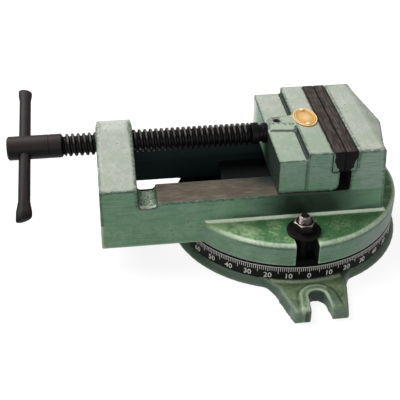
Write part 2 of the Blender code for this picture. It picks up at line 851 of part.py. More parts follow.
def thread_solid():
    """Helical thread, longer than needed, with a point at each end on the axis."""
    crest = thread_radius
    root = thread_radius - thread_depth
    flat = thread_pitch * thread_flat_share
    flank = thread_pitch * thread_flank_share
    corners = [(0, root), (flat, root), (flat + flank, crest), (2 * flat + flank, crest)]
    first = thread_start - spare_turns * thread_pitch
    turns = math.ceil((thread_end - thread_start) / thread_pitch) + 2 * spare_turns
    bm = bmesh.new()
    rows = []
    for step in range(turns * thread_sides + 1):
        angle = 2 * math.pi * step / thread_sides
        across = Vector((0, math.cos(angle), math.sin(angle)))
        start = first + thread_pitch * step / thread_sides
        rows.append([bm.verts.new(Vector((start + shift, 0, 0)) + across * radius)
                     for shift, radius in corners])
    for step in range(turns * thread_sides):
        here, after = rows[step], rows[step + 1]
        for index in range(3):
            bm.faces.new((here[index], here[index + 1], after[index + 1], after[index]))
        if step + 1 + thread_sides <= turns * thread_sides:
            far = rows[step + thread_sides]
            farther = rows[step + 1 + thread_sides]
            bm.faces.new((here[3], far[0], farther[0], after[3]))
    cap_start = bm.verts.new((first - thread_pitch, 0, 0))
    cap_end = bm.verts.new((first + thread_pitch * (turns + spare_turns), 0, 0))
    for edge in [edge for edge in bm.edges if edge.is_boundary]:
        middle = (edge.verts[0].co.x + edge.verts[1].co.x) / 2
        tip = cap_start if middle < (thread_start + thread_end) / 2 else cap_end
        bm.faces.new((edge.verts[0], edge.verts[1], tip))
    thread = to_object("thread", bm)
    thread.location = (0, 0, screw_level)
    return thread


def make_lead_screw(finishes):
    """Lead screw: cross-drilled head, thread, collars and a grooved journal."""
    core = thread_radius - thread_depth - gap
    collar_end = thread_end + collar_length
    thrust_start = movable_left - gap - thrust_length
    groove_start = groove_middle - groove_length / 2
    groove_end = groove_middle + groove_length / 2
    journal_end = movable_left + journal_length
    screw = turned("lead_screw", [
        (0, head_start), (head_radius - head_chamfer, head_start),
        (head_radius, head_start + head_chamfer), (head_radius, thread_start - head_chamfer),
        (head_radius - head_chamfer, thread_start), (core, thread_start), (core, thread_end),
        (collar_radius, thread_end), (collar_radius, collar_end), (neck_radius, collar_end),
        (neck_radius, thrust_start), (thrust_radius, thrust_start),
        (thrust_radius, movable_left - gap), (journal_radius, movable_left - gap),
        (journal_radius, groove_start), (groove_radius, groove_start),
        (groove_radius, groove_end), (journal_radius, groove_end),
        (journal_radius, journal_end), (0, journal_end)],
        "X", (0, 0, screw_level), material=finishes["black"])
    thread = thread_solid()
    limits = block("limits", (thread_start - overlap / 2, -head_radius * 2, 0),
                   (thread_end + overlap / 2, head_radius * 2, jaw_top * 2))
    combine(thread, limits, "INTERSECT")
    join(screw, thread)
    hole = rod("cross_hole", bar_radius + gap, -head_radius - overrun, head_radius + overrun)
    hole.data.transform(bar_pose())
    cut(screw, hole)
    return shade(screw)


def bar_pose():
    """Where the bar's hole crosses the screw, and how far it leans."""
    lean = Matrix.Rotation(-math.radians(bar_lean), 4, "X")
    return Matrix.Translation((bar_place, 0, screw_level)) @ lean


def make_tommy_bar(finishes):
    """Loose bar through the screw's head, with its ends flattened so that it can't fall out."""
    low = -bar_below
    high = bar_above
    thin = swage_half_thickness
    stations = [
        (low, bar_radius, thin * swage_tip_share),
        (low + bar_lower_swage * swage_near_share, lower_swage_half_width, thin),
        (low + bar_lower_swage / 2, lower_swage_half_width, thin),
        (low + bar_lower_swage, bar_radius, bar_radius),
        (high - bar_upper_swage, bar_radius, bar_radius),
        (high - bar_upper_swage / 2, upper_swage_half_width, thin),
        (high - bar_upper_swage * swage_far_share, upper_swage_half_width, thin),
        (high, bar_radius, thin * swage_tip_share)]
    rings = [((0, 0, level), wide, narrow) for level, wide, narrow in stations]
    bar = lofted("tommy_bar", rings, bar_sides, finishes["black"])
    bar.data.transform(bar_pose())
    return shade(bar)


def make_clamp_bolt(name, side, finishes):
    """One square-headed T-bolt, its head in the base's T-slot."""
    y = -side * bolt_circle_radius
    half = clamp_head_width / 2
    head_top = slot_top - gap
    bolt = block(name, (-half, y - half, head_top - clamp_head_height), (half, y + half, head_top),
                 finishes["black"])
    shank = rod("shank", clamp_bolt_radius, head_top - overlap, clamp_bolt_height,
                centre=(0, y, 0), chamfer=clamp_chamfer)
    return shade(join(bolt, shank))


def make_washer(name, side, finishes):
    """One clamp washer on the flange."""
    profile = ring_profile(washer_hole_radius, washer_radius, washer_low,
                           washer_low + washer_thickness)
    return shade(turned(name, profile, "Z", (0, -side * bolt_circle_radius, 0),
                        washer_sides, finishes["black"]))


def make_nut(name, side, finishes):
    """One hexagon nut with chamfered corners, bored clear of its bolt."""
    y = -side * bolt_circle_radius
    high = nut_low + nut_height
    outline = [(x, y + across) for x, across in hexagon(nut_across_flats)]
    nut = prism(name, outline, nut_low, high, "Z", finishes["black"])
    corner = nut_across_flats / 2 / math.cos(math.pi / 6)
    barrel = turned("barrel", [
        (0, nut_low - overlap), (corner + overlap, nut_low - overlap),
        (corner + overlap, high - nut_chamfer * 2), (nut_across_flats / 2 - gap, high),
        (0, high)], "Z", (0, y, 0))
    combine(nut, barrel, "INTERSECT")
    cut(nut, rod("nut_bore", clamp_bolt_radius + gap, nut_low - overrun, high + overrun,
                 centre=(0, y, 0)))
    return shade(nut)


def main():
    """Make every piece of the vise."""
    clear_scene()
    finishes = make_finishes()
    make_base(finishes)
    make_band(finishes)
    make_pivot_pin(finishes)
    make_body(finishes)
    make_plate("fixed_jaw_plate", fixed_plate_face, 1, fixed_seat, finishes)
    make_movable_jaw(finishes)
    make_plate("movable_jaw_plate", movable_plate_face, -1, movable_seat, finishes)
    make_keeper(finishes)
    make_retainer(finishes)
    make_badge(finishes)
    make_lead_screw(finishes)
    make_tommy_bar(finishes)
    for end, side in (("front", 1), ("rear", -1)):
        place = -side * plate_screw_spacing / 2
        make_cap_screw(f"fixed_plate_screw_{end}", fixed_plate_face, fixed_seat, place, 1, finishes)
        make_cap_screw(f"movable_plate_screw_{end}", movable_plate_face, movable_seat, place, -1,
                       finishes)
        make_keeper_screw(f"keeper_screw_{end}", -side, finishes)
        make_rivet(f"badge_rivet_{end}", -side, finishes)
        make_clamp_bolt(f"{end}_clamp_bolt", side, finishes)
        make_washer(f"{end}_clamp_washer", side, finishes)
        make_nut(f"{end}_clamp_nut", side, finishes)


main()
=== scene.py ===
"""Swivel drill press vise: its looks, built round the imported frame.

Metres, +Z up, in the frame of the solid model: the screw runs along X, the handle is at -X and the
origin is on the swivel axis, on the underside of the base.
"""
import json
import math
from collections import defaultdict

import bmesh
import bpy
import numpy as np
from mathutils import Matrix, Vector, noise

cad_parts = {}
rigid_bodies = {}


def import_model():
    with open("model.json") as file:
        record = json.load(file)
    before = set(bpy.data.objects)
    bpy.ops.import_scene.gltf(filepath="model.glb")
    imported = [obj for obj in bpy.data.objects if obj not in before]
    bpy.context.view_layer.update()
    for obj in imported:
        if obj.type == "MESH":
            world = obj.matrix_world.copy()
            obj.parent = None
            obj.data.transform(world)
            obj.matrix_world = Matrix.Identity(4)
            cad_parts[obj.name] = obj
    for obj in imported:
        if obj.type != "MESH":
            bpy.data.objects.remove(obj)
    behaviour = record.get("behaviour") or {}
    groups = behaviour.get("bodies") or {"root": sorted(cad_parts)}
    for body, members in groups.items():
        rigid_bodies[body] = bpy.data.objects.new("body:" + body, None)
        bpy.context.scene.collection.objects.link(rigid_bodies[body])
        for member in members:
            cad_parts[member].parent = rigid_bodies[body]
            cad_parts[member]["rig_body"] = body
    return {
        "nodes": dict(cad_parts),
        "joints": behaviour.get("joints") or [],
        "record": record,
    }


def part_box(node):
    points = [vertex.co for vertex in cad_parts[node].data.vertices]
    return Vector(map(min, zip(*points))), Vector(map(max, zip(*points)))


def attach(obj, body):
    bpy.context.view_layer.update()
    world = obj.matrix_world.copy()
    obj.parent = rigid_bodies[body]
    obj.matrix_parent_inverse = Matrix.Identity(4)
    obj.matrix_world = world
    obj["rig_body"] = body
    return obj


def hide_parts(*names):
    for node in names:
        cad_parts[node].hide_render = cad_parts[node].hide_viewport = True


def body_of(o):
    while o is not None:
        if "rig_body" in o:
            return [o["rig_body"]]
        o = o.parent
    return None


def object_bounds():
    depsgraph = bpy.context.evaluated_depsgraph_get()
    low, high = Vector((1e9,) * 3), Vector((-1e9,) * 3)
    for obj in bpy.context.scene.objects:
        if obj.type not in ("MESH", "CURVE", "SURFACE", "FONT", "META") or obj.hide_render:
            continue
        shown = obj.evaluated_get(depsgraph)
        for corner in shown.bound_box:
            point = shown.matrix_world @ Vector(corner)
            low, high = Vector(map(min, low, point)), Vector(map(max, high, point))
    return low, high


bl_info = {
    "name": "Swivel drill press vise",
    "version": (1, 0, 0),
    "blender": (4, 5, 0),
    "location": "3D View > Sidebar > Vise",
    "description": "Finishes and fine pieces of a swivel drill press vise",
    "category": "Add Mesh",
}

for leftover in list(bpy.data.objects):
    bpy.data.objects.remove(leftover, do_unlink=True)
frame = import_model()
cad_low, cad_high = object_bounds()
boxes = {node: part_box(node) for node in frame["nodes"]}
joints = {joint["name"]: joint for joint in frame["joints"]}
couplings = {item["joint"]: item["ratio"] for item in frame["record"]["behaviour"]["couplings"]}

# Levels and places of the frame that the pieces share
jaw_top = boxes["movable_jaw"][1].z
half_width = boxes["movable_jaw"][1].y
body_left = boxes["vise_body"][0].x
jaw_left = boxes["movable_jaw"][0].x
flange_radius = -boxes["vise_body"][0].y
screw_level = joints["screw_turn"]["pos_m"][2]
bar_direction = Vector(joints["bar_slide"]["axis"]).normalized()
thread_pitch = 2 * math.pi / abs(couplings["screw_turn"])
clamp_thread_pitch = 2 * math.pi / abs(couplings["front_nut_turn"])
bolt_body = body_of(frame["nodes"]["front_clamp_bolt"])[0]
ends = {"front": -1, "rear": 1}
OVERRUN = 0.002                 # how far a cutter passes the face that it cuts
WELD = 0.000001                 # points closer than this are one
HEXAGON = 6
FULL_TURN = 360                 # degrees
HALF_TURN = 180
NUMBER_STEP = 10                # degrees from one number of the band to the next
LONG_MARK_STEP = 5              # degrees from one longer mark to the next
SHARP = math.radians(32)        # bends above this stay sharp
SHARP_SKIN = math.radians(60)
SHARP_NUT = math.radians(20)


def length(name, description, default):
    """A size that a user can set."""
    return bpy.props.FloatProperty(name=name, description=description, default=default, min=0,
                                   precision=5, unit="LENGTH")


def place(name, description, default):
    """A place along an axis that a user can set."""
    return bpy.props.FloatProperty(name=name, description=description, default=default,
                                   precision=5, unit="LENGTH")


def direction(name, description, default):
    """A direction or a stretch along the three axes that a user can set."""
    return bpy.props.FloatVectorProperty(name=name, description=description, default=default, size=3)


def angle(name, description, default):
    """An angle that a user can set, given here in degrees."""
    return bpy.props.FloatProperty(name=name, description=description,
                                   default=math.radians(default), unit="ROTATION")


def share(name, description, default):
    """A number from 0 to 1 that a user can set."""
    return bpy.props.FloatProperty(name=name, description=description, default=default, min=0,
                                   max=1, subtype="FACTOR")


def strength(name, description, default):
    """A plain number that a user can set."""
    return bpy.props.FloatProperty(name=name, description=description, default=default, min=0)


def count(name, description, default):
    """A whole number that a user can set."""
    return bpy.props.IntProperty(name=name, description=description, default=default, min=1)


def color(name, description, default):
    """A colour that a user can set."""
    return bpy.props.FloatVectorProperty(name=name, description=description, default=default,
                                         size=3, min=0, max=1, subtype="COLOR")


class VisePaint(bpy.types.PropertyGroup):
    """Colours of the painted castings."""

    upright: color("Upright faces", "Paint on the sides of the castings", (0.134, 0.262, 0.155))
    upright_worn: color("Upright faces, thin", "Paint where it is thin", (0.215, 0.335, 0.250))
    jaw_side: color("Jaw sides", "Greyer paint on the sides of the jaws", (0.165, 0.270, 0.195))
    jaw_side_worn: color("Jaw sides, thin", "Where that paint is thin", (0.24, 0.33, 0.265))
    right_end: color("Right end", "Greyer paint low on the flange's right end", (0.290, 0.300, 0.330))
    foot: color("Base", "Paint on the sides of the base", (0.048, 0.082, 0.056))
    foot_worn: color("Base, thin", "Paint of the base where it is thin", (0.100, 0.135, 0.105))
    # The pale grey of the smooth tops and the bracket's slopes is partly their own filler and partly a
    # painted sheen.
    ground: color("Smooth tops", "Paint over the ground tops", (0.335, 0.375, 0.305))
    ground_worn: color("Smooth tops, thin", "Where the grey filler shows", (0.43, 0.445, 0.395))
    rough: color("Rough skin", "Paint over the sand-cast skin", (0.043, 0.135, 0.047))
    rough_pale: color("Rough skin, high spots", "Rubbed high spots", (0.25, 0.37, 0.19))
    # Partly worn paint and partly a painted highlight on rounded edges; also the lugs' pale strip.
    edge: color("Edges", "Paint on rounded edges", (0.44, 0.55, 0.40))
    # Painted highlight on the flange's rounded rim and along its fillet; also painted light on the land's
    # sides and the pale specks of the groove.
    fillet: color("Fillets", "Thick pale paint along the flange", (0.62, 0.72, 0.56))
    # Also painted shade in hollow corners, besides the streaks and the dark lines along edges.
    crease: color("Creases", "Dirt in the corners", (0.012, 0.030, 0.018))
    # Painted shade: the dark of the jaw's steps, end face and foot, the bracket's foot, the groove's
    # walls, under the flange's rim and in the lugs' slots.
    dark: color("Dark corners", "Dirt on the jaw's steps and near its foot", (0.007, 0.016, 0.010))
    # Painted light: the pale of the lit far half of the jaw's end face and of the groove's lip.
    far_end: color("Filler", "Pale filler of the jaw's far end and the groove's lip", (0.60, 0.63, 0.58))
    pit: color("Pits", "Small pits of the casting", (0.03, 0.05, 0.035))
    # Painted shade: the near-black of the channel, the gap below the jaw plates, the flange's slots and
    # the base seen through them, darker still on floors.
    inside: color("Inside", "Dark oily walls of the channel", (0.010, 0.021, 0.022))
    inside_low: color("Inside, low", "Dark oily floor of the channel", (0.001, 0.002, 0.002))
    steel: color("Ways", "Bare ground iron", (0.085, 0.072, 0.052))
    steel_bright: color("Ways, bright", "Rubbed parts of the ways", (0.165, 0.142, 0.105))
    # Painted shade below the jaws and above the flange.
    shade: color("Below the jaws", "Darker paint below the jaws", (0.008, 0.024, 0.010))
    lug: color("Lugs", "Paint over the lugs", (0.048, 0.082, 0.032))
    lug_pale: color("Lugs, high spots", "High spots of the lugs", (0.135, 0.185, 0.10))
    cloud_size: length("Clouds", "Distance between large variations", 0.012)
    mottle_size: length("Mottle", "Distance between spots of the skin", 0.0022)
    fine_size: length("Fine grain", "Distance between fine grains", 0.0006)
    pit_size: length("Pits", "Distance between pits", 0.0045)
    bump: length("Skin height", "Height of the shaded skin", 0.00035)
    roughness: share("Roughness", "Roughness of the paint", 0.44)
    highlight: share("Highlight", "Specular level of the paint", 0.35)
    streak_stretch: direction("Streaks", "How the streaks of the sides are drawn out", (0.08, 0.08, 1.0))
    scratch_stretch: direction("Scratches", "How the scratches are drawn out", (0.06, 1.0, 1.0))


class ViseCasting(bpy.types.PropertyGroup):
    """Skin of the castings."""

    body_grain: length("Body grain", "Size of the faces of the body's skin", 0.0008)
    base_grain: length("Base grain", "Size of the faces of the base's skin", 0.0009)
    jaw_grain: length("Jaw grain", "Size of the faces of the jaw's skin", 0.0006)
    softening: count("Softening", "How often the edges are smoothed", 6)
    ground_share: share("Ground edges", "How much of that reaches the ground parts", 0.25)
    lug_share: share("Lug edges", "How much of that reaches the lugs", 0.45)
    lug_start: length("Lug start", "Middle plane to the lugs", 0.0925)
    rim_sides: count("Flats of the rims", "Facets of the solid model's round rims", 64)
    rim_reach: length("Rim reach", "Radius beyond which the flats are rounded off", 0.078)
    rim_limit: length("Rim limit", "Radius up to which the flats are rounded off", 0.0873)
    base_turn: angle("Base turn", "How far the base stands from square", 1.6)
    lump_height: length("Lumps", "Height of the sand-cast lumps", 0.00014)
    lump_size: length("Lump size", "Distance between the lumps", 0.0032)
    way_drop: length("Way drop", "Jaw tops to the ways", 0.0319)
    shoulder_rise: length("Shoulder rise", "Ways to the foot of the bracket's slopes", 0.0114)
    flange_rise: length("Flange", "Thickness of the flange", 0.0181)
    relief_width: length("Relief groove", "Width of the groove beside the bracket", 0.0134)
    channel_width: length("Channel", "Width between the rails", 0.0502)
    undercut_width: length("Undercut", "Width below the rails' ledges", 0.0688)
    ledge_drop: length("Ledges", "Thickness of the rails above the undercut", 0.0126)
    step_drop: length("Jaw step", "Upper to lower step of the movable jaw", 0.0051)
    softness: length("Softness", "Blur between finishes", 0.0004)
    bracket_reach: length("Bracket face", "Swivel axis to the bracket's face", 0.1137)
    channel_end: place("Channel end", "Right end of the channel", 0.0295)
    shade_start: place("Shade start", "Left end of the shade below the jaws", -0.0480)
    shade_full: place("Shade full", "Where that shade is darkest", -0.0040)
    shade_fade: place("Shade fade", "Where that shade starts to fade", 0.0180)
    shade_end: place("Shade end", "Right end of that shade", 0.0620)
    hem_start: place("Hem start", "Left end of the dark hem above the flange", -0.0640)
    hem_full: place("Hem full", "Where that hem is darkest", -0.0400)
    hem_height: length("Hem height", "Height of that hem", 0.0095)
    lug_half_width: length("Lug half width", "Half width of the lugs' tops at the foot", 0.0240)
    lug_notch: length("Lug slot", "Half width of the lugs' slots", 0.0084)
    lug_strip: length("Lug strip", "Width of the pale strip beside the band", 0.0075)
    pocket_start: place("Pocket start", "Left end of the dark gap below the jaw plates", 0.0217)
    pocket_end: place("Pocket end", "Right end of that gap", 0.0363)
    slot_half_width: length("Flange slot", "Half width of the flange's slots", 0.0077)
    rim_band: length("Flange rim", "Width of the pale rim of the flange", 0.0032)
    # The lighter left of the flange's top is partly rubbed paint and partly painted light.
    rub_left: share("Left rub", "How much the left of the flange's top is rubbed", 0.07)
    rub_fall: share("Rub fall", "How much less the rest of it is rubbed", 0.18)
    rub_start: place("Rub start", "Where the rub of the left starts to fade", -0.0400)
    rub_end: place("Rub end", "Where the rub of the left has faded", -0.0260)
    plate_shade: length("Shade at the plates", "Width of the dark end of the ways", 0.0150)
    # The pale far half of the jaw's end face is painted light, and the dark of its near end is painted
    # shade.
    far_start_share: share("Far filler", "Where the jaw's far pale filler starts", 0.55)
    near_full_share: share("Near dirt", "Up to where the jaw's near end is full of dirt", 0.25)
    near_end_share: share("Near dirt end", "Where that dirt has faded", 0.60)
    right_start_share: share("Right start", "Where the greyer right end starts", 0.25)
    right_full_share: share("Right full", "Where it is greyest", 0.75)
    tip_reach: length("Lug tips", "Swivel axis to the faces of the lugs' tips", 0.1130)
    fillet_height: length("Flange fillet", "Height of the pale line along the flange", 0.0011)
    land_half_width: length("Land half width", "Half width of the land over the journal", 0.0108)
    lower_step: length("Lower step", "Length of the movable jaw's lower step", 0.0207)
    edge_spread: count("Edge spread", "How widely worn edges spread", 3)
    edge_gain: strength("Edge gain", "How strongly edges show", 3.0)
    lug_gain: strength("Lug edge gain", "How strongly the base's edges show", 4.8)
    base_few_share: share("Base faces", "Share of the base's faces that is kept", 0.5)
    body_few_share: share("Body faces", "Share of the body's faces that is kept", 0.45)
    jaw_few_share: share("Jaw faces", "Share of the jaw's faces that is kept", 0.6)


class ViseBand(bpy.types.PropertyGroup):
    """Degree band."""

    black: color("Black", "Black of the band", (0.003, 0.004, 0.003))
    black_worn: color("Black, rubbed", "Rubbed black", (0.012, 0.014, 0.012))
    mark: color("Marks", "Marks and numbers", (0.95, 0.94, 0.90))
    mark_dark: color("Marks, dull", "Dull parts of the marks", (0.62, 0.60, 0.57))
    roughness: share("Roughness", "Roughness of the band", 0.5)
    highlight: share("Highlight", "Specular level of the band", 0.08)
    thickness: length("Thickness", "Thickness of the band", 0.0008)
    capital_share: share("Capitals", "Height of a digit as a share of the type size", 0.70)
    mark_width: length("Mark width", "Width of one mark", 0.00032)
    mark_relief: length("Mark relief", "Height of the marks above the band", 0.00008)
    top_margin: length("Top margin", "Band's top edge to the marks", 0.0011)
    unit_mark: length("1 degree mark", "Length of a short mark", 0.0036)
    five_mark: length("5 degree mark", "Length of a 5 degree mark", 0.0058)
    ten_mark: length("10 degree mark", "Length of a 10 degree mark", 0.0044)
    number_height: length("Numbers", "Height of the numbers", 0.0042)
    number_level: length("Number level", "Band's lower edge to the numbers", 0.0015)
    sides: count("Sides", "Facets of the band", 256)
    number_steps: count("Number steps", "Facets of a curve in a number", 3)


class ViseSteel(bpy.types.PropertyGroup):
    """Colours of the steel and brass pieces."""

    oxide: color("Black oxide", "Blackened steel", (0.004, 0.0035, 0.0035))
    oxide_worn: color("Black oxide, handled", "Where the black is rubbed thin", (0.013, 0.010, 0.010))
    # Worn crests that also stand for a painted highlight, on the upper side only.
    thread_worn: color("Thread crests", "Where the thread's black is rubbed", (0.125, 0.112, 0.104))
    # Partly rubbed steel, partly a painted highlight: the top of the head and the bar's upper side.
    handled: color("Handled steel", "Brown of the head and the bar where hands rub them",
                   (0.033, 0.025, 0.024))
    # Partly rubbed steel, partly a painted glint on bevels that face up.
    glint: color("Bare steel", "Rubbed edges of nuts and bolts", (0.42, 0.36, 0.33))
    plate: color("Jaw plates", "Hardened steel", (0.094, 0.076, 0.064))
    plate_line: color("Jaw plates, dark", "Grinding marks and stains", (0.030, 0.025, 0.023))
    # Painted shade on the plates' ends, at their seam and where they meet the jaws.
    plate_end: color("Jaw plate ends", "Blackened ends of the jaw plates", (0.004, 0.004, 0.004))
    plate_line_width: length("Plate lines", "Width of the dark lines along the plates' edges", 0.0009)
    brass: color("Brass", "Badge and rivets", (0.85, 0.62, 0.28))
    brass_dark: color("Brass, tarnished", "Tarnish in the low places", (0.52, 0.27, 0.075))
    cloud_size: length("Clouds", "Distance between large variations", 0.006)
    fine_size: length("Fine grain", "Distance between fine grains", 0.0007)
    brass_grain: length("Brass grain", "Distance between the grains of the brass", 0.0006)
    bump: length("Grain height", "Height of the shaded grain", 0.00005)
    bump_share: share("Grain strength", "Strength of that grain", 0.5)
    roughness: share("Roughness", "Roughness of black steel", 0.38)
    grain_roughness: share("Grain roughness", "How much rougher its grain is", 0.16)
    screw_roughness: share("Screw roughness", "Roughness of the lead screw", 0.36)
    nut_roughness: share("Nut roughness", "Roughness of the clamp nuts and bolts", 0.34)
    plate_roughness: share("Plate roughness", "Roughness of the jaw plates", 0.50)
    brass_roughness: share("Brass roughness", "Roughness of the brass", 0.36)
    brass_metal: share("Brass metal", "How metallic the brass is", 0.15)
    highlight: share("Highlight", "Specular level of black steel", 0.12)
    nut_highlight: share("Nut highlight", "Specular level of the clamp nuts and bolts", 0.14)
    plate_highlight: share("Plate highlight", "Specular level of the jaw plates", 0.10)
    brass_highlight: share("Brass highlight", "Specular level of the brass", 0.6)
    grind_stretch: direction("Grinding", "How the grinding lines are drawn out", (1.0, 0.05, 1.0))


class ViseScrew(bpy.types.PropertyGroup):
    """Lead screw and its cross bar."""

    sides: count("Sides", "Facets round the screw", 48)
    head_length: length("Head", "Length of the screw's head", 0.0390)
    head_chamfer: length("Head chamfer", "Chamfer of the head's ends", 0.0010)
    head_ring: length("Ring", "Depth of the turned line round the head", 0.00022)
    ring_width: length("Ring width", "Width of the turned line", 0.0009)
    ring_place: length("Ring place", "End of the head to the turned line", 0.0290)
    thread_radius: length("Thread radius", "Outside of the thread", 0.0082)
    thread_depth: length("Thread depth", "Depth of the thread", 0.0019)
    end_clearance: length("Thread end", "End of the thread to the movable jaw", 0.0110)
    collar_length: length("Collar", "Length of the collar after the thread", 0.0052)
    collar_radius: length("Collar radius", "Radius of the collar", 0.0080)
    neck_radius: length("Neck radius", "Radius between the collars", 0.0062)
    thrust_radius: length("Thrust radius", "Radius of the thrust collar", 0.0074)
    thrust_length: length("Thrust length", "Length of the thrust collar", 0.0026)
    journal_radius: length("Journal radius", "Radius of the journal in the jaw", 0.0060)
    groove_radius: length("Groove radius", "Radius of the journal's groove", 0.0042)
    groove_reach: length("Groove reach", "Jaw face to the middle of the groove", 0.0078)
    groove_length: length("Groove length", "Length of the groove", 0.0058)
    round_edge: length("Round edge", "Rounding of turned edges", 0.0004)
    gap: length("Running gap", "Between the journal and its bore", 0.0003)


class ViseBar(bpy.types.PropertyGroup):
    """Cross bar."""

    sides: count("Sides", "Facets round the bar", 32)
    radius: length("Radius", "Radius of the bar", 0.0042)
    upper_swage: length("Upper swage", "Length of the upper flattened end", 0.0110)
    lower_swage: length("Lower swage", "Length of the lower flattened end", 0.0165)
    upper_half: length("Upper half width", "Half width of the upper end", 0.0050)
    lower_half: length("Lower half width", "Half width of the lower end", 0.0055)
    half_thickness: length("Half thickness", "Half thickness of the flattened ends", 0.0034)
    lower_slant: length("Lower slant", "How much further one side of the lower end reaches", 0.0035)
    upper_slant: length("Upper slant", "How much further one side of the upper end reaches", 0.0025)
    end_round: length("End rounding", "Rounding of the ends", 0.0006)
    above: length("Above", "Bar above the screw", 0.0550)
    below: length("Below", "Bar below the screw", 0.0640)
    hole_clearance: length("Hole clearance", "Bar to its hole", 0.0003)
    end_clearance: length("Bar place", "End of the head to the bar", 0.0120)


class ViseFastener(bpy.types.PropertyGroup):
    """Clamps, jaw plates and small screws."""

    sides: count("Sides", "Facets of round fasteners", 48)
    across_flats: length("Nut", "Width of the clamp nut across its flats", 0.0130)
    nut_chamfer: length("Nut chamfer", "Height of the nut's chamfers", 0.0011)
    bolt_radius: length("Bolt radius", "Radius of the clamp bolt", 0.0040)
    bolt_clearance: length("Bolt clearance", "Bolt to nut and washer", 0.0003)
    bolt_thread_depth: length("Bolt thread", "Depth of the clamp bolt's thread", 0.00055)
    bolt_head: length("Bolt head", "Height of the clamp bolt's head", 0.0055)
    washer_hole: length("Washer hole", "Radius of the washer's hole", 0.0045)
    round_edge: length("Round edge", "Rounding of small edges", 0.0003)
    plate_edge: length("Plate edge", "Chamfer of the jaw plates", 0.0004)
    screw_spacing: length("Screw spacing", "Between the plate screws", 0.0600)
    screw_radius: length("Screw head", "Radius of the plate screws' heads", 0.0042)
    screw_head: length("Screw head length", "Length of the plate screws' heads", 0.0046)
    shank_radius: length("Screw shank", "Radius of the plate screws' shanks", 0.0025)
    socket: length("Socket", "Width of the hexagon socket", 0.0040)
    socket_depth: length("Socket depth", "Depth of the hexagon socket", 0.0024)
    slot_width: length("Driver slot", "Width of the retainer's slot", 0.0009)
    slot_depth: length("Driver slot depth", "Depth of the retainer's slot", 0.0012)


class ViseBadge(bpy.types.PropertyGroup):
    """Oval badge."""

    sides: count("Sides", "Facets round the badge", 96)
    rim_share: share("Rim", "Where the outer rim starts", 0.90)
    line_share: share("Inner line", "Middle of the inner line", 0.80)
    line_width_share: share("Inner line width", "Width of the inner line", 0.035)
    rim_height: length("Rim height", "Rim above the field", 0.00030)
    soft_share: share("Soft edge", "Slope of the rims", 0.012)
    rivet_head: length("Rivet head", "Height of the rivets' heads", 0.0007)
    rivet_radius: length("Rivet shank", "Radius of the rivets' shanks", 0.0010)
    rivet_sides: count("Rivet sides", "Facets round a rivet", 24)
    rivet_steps: count("Rivet steps", "Facets from a rivet's edge to its top", 6)


class ViseStage(bpy.types.PropertyGroup):
    """Camera, lamps and floor."""

    azimuth: angle("Azimuth", "How far the camera stands to the left of the front", 7.0)
    elevation: angle("Elevation", "How far the camera looks down", 35.3)
    distance: length("Distance", "Camera to the target, along the view", 0.619)
    target_level: length("Target level", "Height of the target on the swivel axis", 0.030)
    lens: strength("Lens", "Focal length in millimetres", 72.0)
    sensor: strength("Sensor", "Sensor width in millimetres", 36.0)
    picture: count("Picture", "Width of the picture in pixels", 400)
    target_right: strength("Target right", "Pixels from the left edge to the target", 282.9)
    target_down: strength("Target down", "Pixels from the top edge to the target", 185.0)
    floor_size: length("Floor", "Width of the floor", 8.0)
    floor_color: color("Floor", "Colour of the floor", (0.22, 0.22, 0.22))
    floor_glow_share: share("Floor glow", "How much of the floor's white is its own", 0.85)
    sky: strength("Sky", "Strength of the surrounding light", 0.34)
    key_power: strength("Key lamp", "Power of the lamp above and behind", 17.0)
    key_size: length("Key lamp size", "Width of that lamp", 0.9)
    key_distance: length("Key lamp distance", "Vise to that lamp", 1.1)
    fill_power: strength("Fill lamp", "Power of the lamp in front", 4.5)
    fill_size: length("Fill lamp size", "Width of that lamp", 0.7)
    fill_distance: length("Fill lamp distance", "Vise to that lamp", 1.2)
    key_direction: direction("Key direction", "Vise to the key lamp", (-0.55, 0.35, 0.75))
    fill_direction: direction("Fill direction", "Vise to the fill lamp", (-0.10, -1.0, 0.35))


# Detail and roughness of the fine noises
FINE_DETAIL = 4.0
FINE_ROUGHNESS = 0.7
SKIN_ROUGHNESS = 0.65
SCRATCH_DETAIL = 2.0

# Spans of noise over which one finish turns into the next
WORN = (0.85, 1.25)
STREAKED = (0.50, 0.66)
RUBBED = (0.62, 1.02)
GRAINY = (0.66, 0.84)
SCRATCHED = (0.66, 0.95)
PITTED = (0.05, 0.15)
PIT_CLOUDS = (0.48, 0.60)
BROKEN = (0.35, 0.55)
HANDLED = (0.9, 1.25)
CREST_RUBBED = (0.5, 0.9)
EDGE_RUBBED = (0.3, 0.6)
GROUND_LINES = (0.6, 0.9)
SPILT = (0.52, 0.58)
TARNISHED = (0.70, 0.98)

# Spans of the stored edge value: hollow corners are low, outer edges are high
HOLLOW = (0.38, 0.50)
OUTLINE = (0.57, 0.65)
CONVEX = (0.60, 0.76)

# Spans of how far a face looks up, from -1 to 1, or to one side
UPRIGHT = (0.35, 0.7)
LEVEL = (0.3, 0.7)
BASE_TOP = (0.3, 0.8)
WAY_TOP = (0.7, 0.9)
FLANGE_TOP = (-0.2, 0.6)
GROOVE_FLOOR = (-0.1, 0.5)
GROOVE_WALL = (0.55, 0.85)
LIP_TOP = (0.3, 0.6)
THREAD_TOP = (0.50, 0.80)
HEAD_TOP = (0.15, 0.85)
BAR_TOP = (0.80, 0.98)
BEVEL_LOW = (0.35, 0.5)
BEVEL_HIGH = (0.93, 0.99)
PLATE_END = (0.4, 0.8)
LAND_SIDE = 0.5
POCKET_SIDE = 0.6


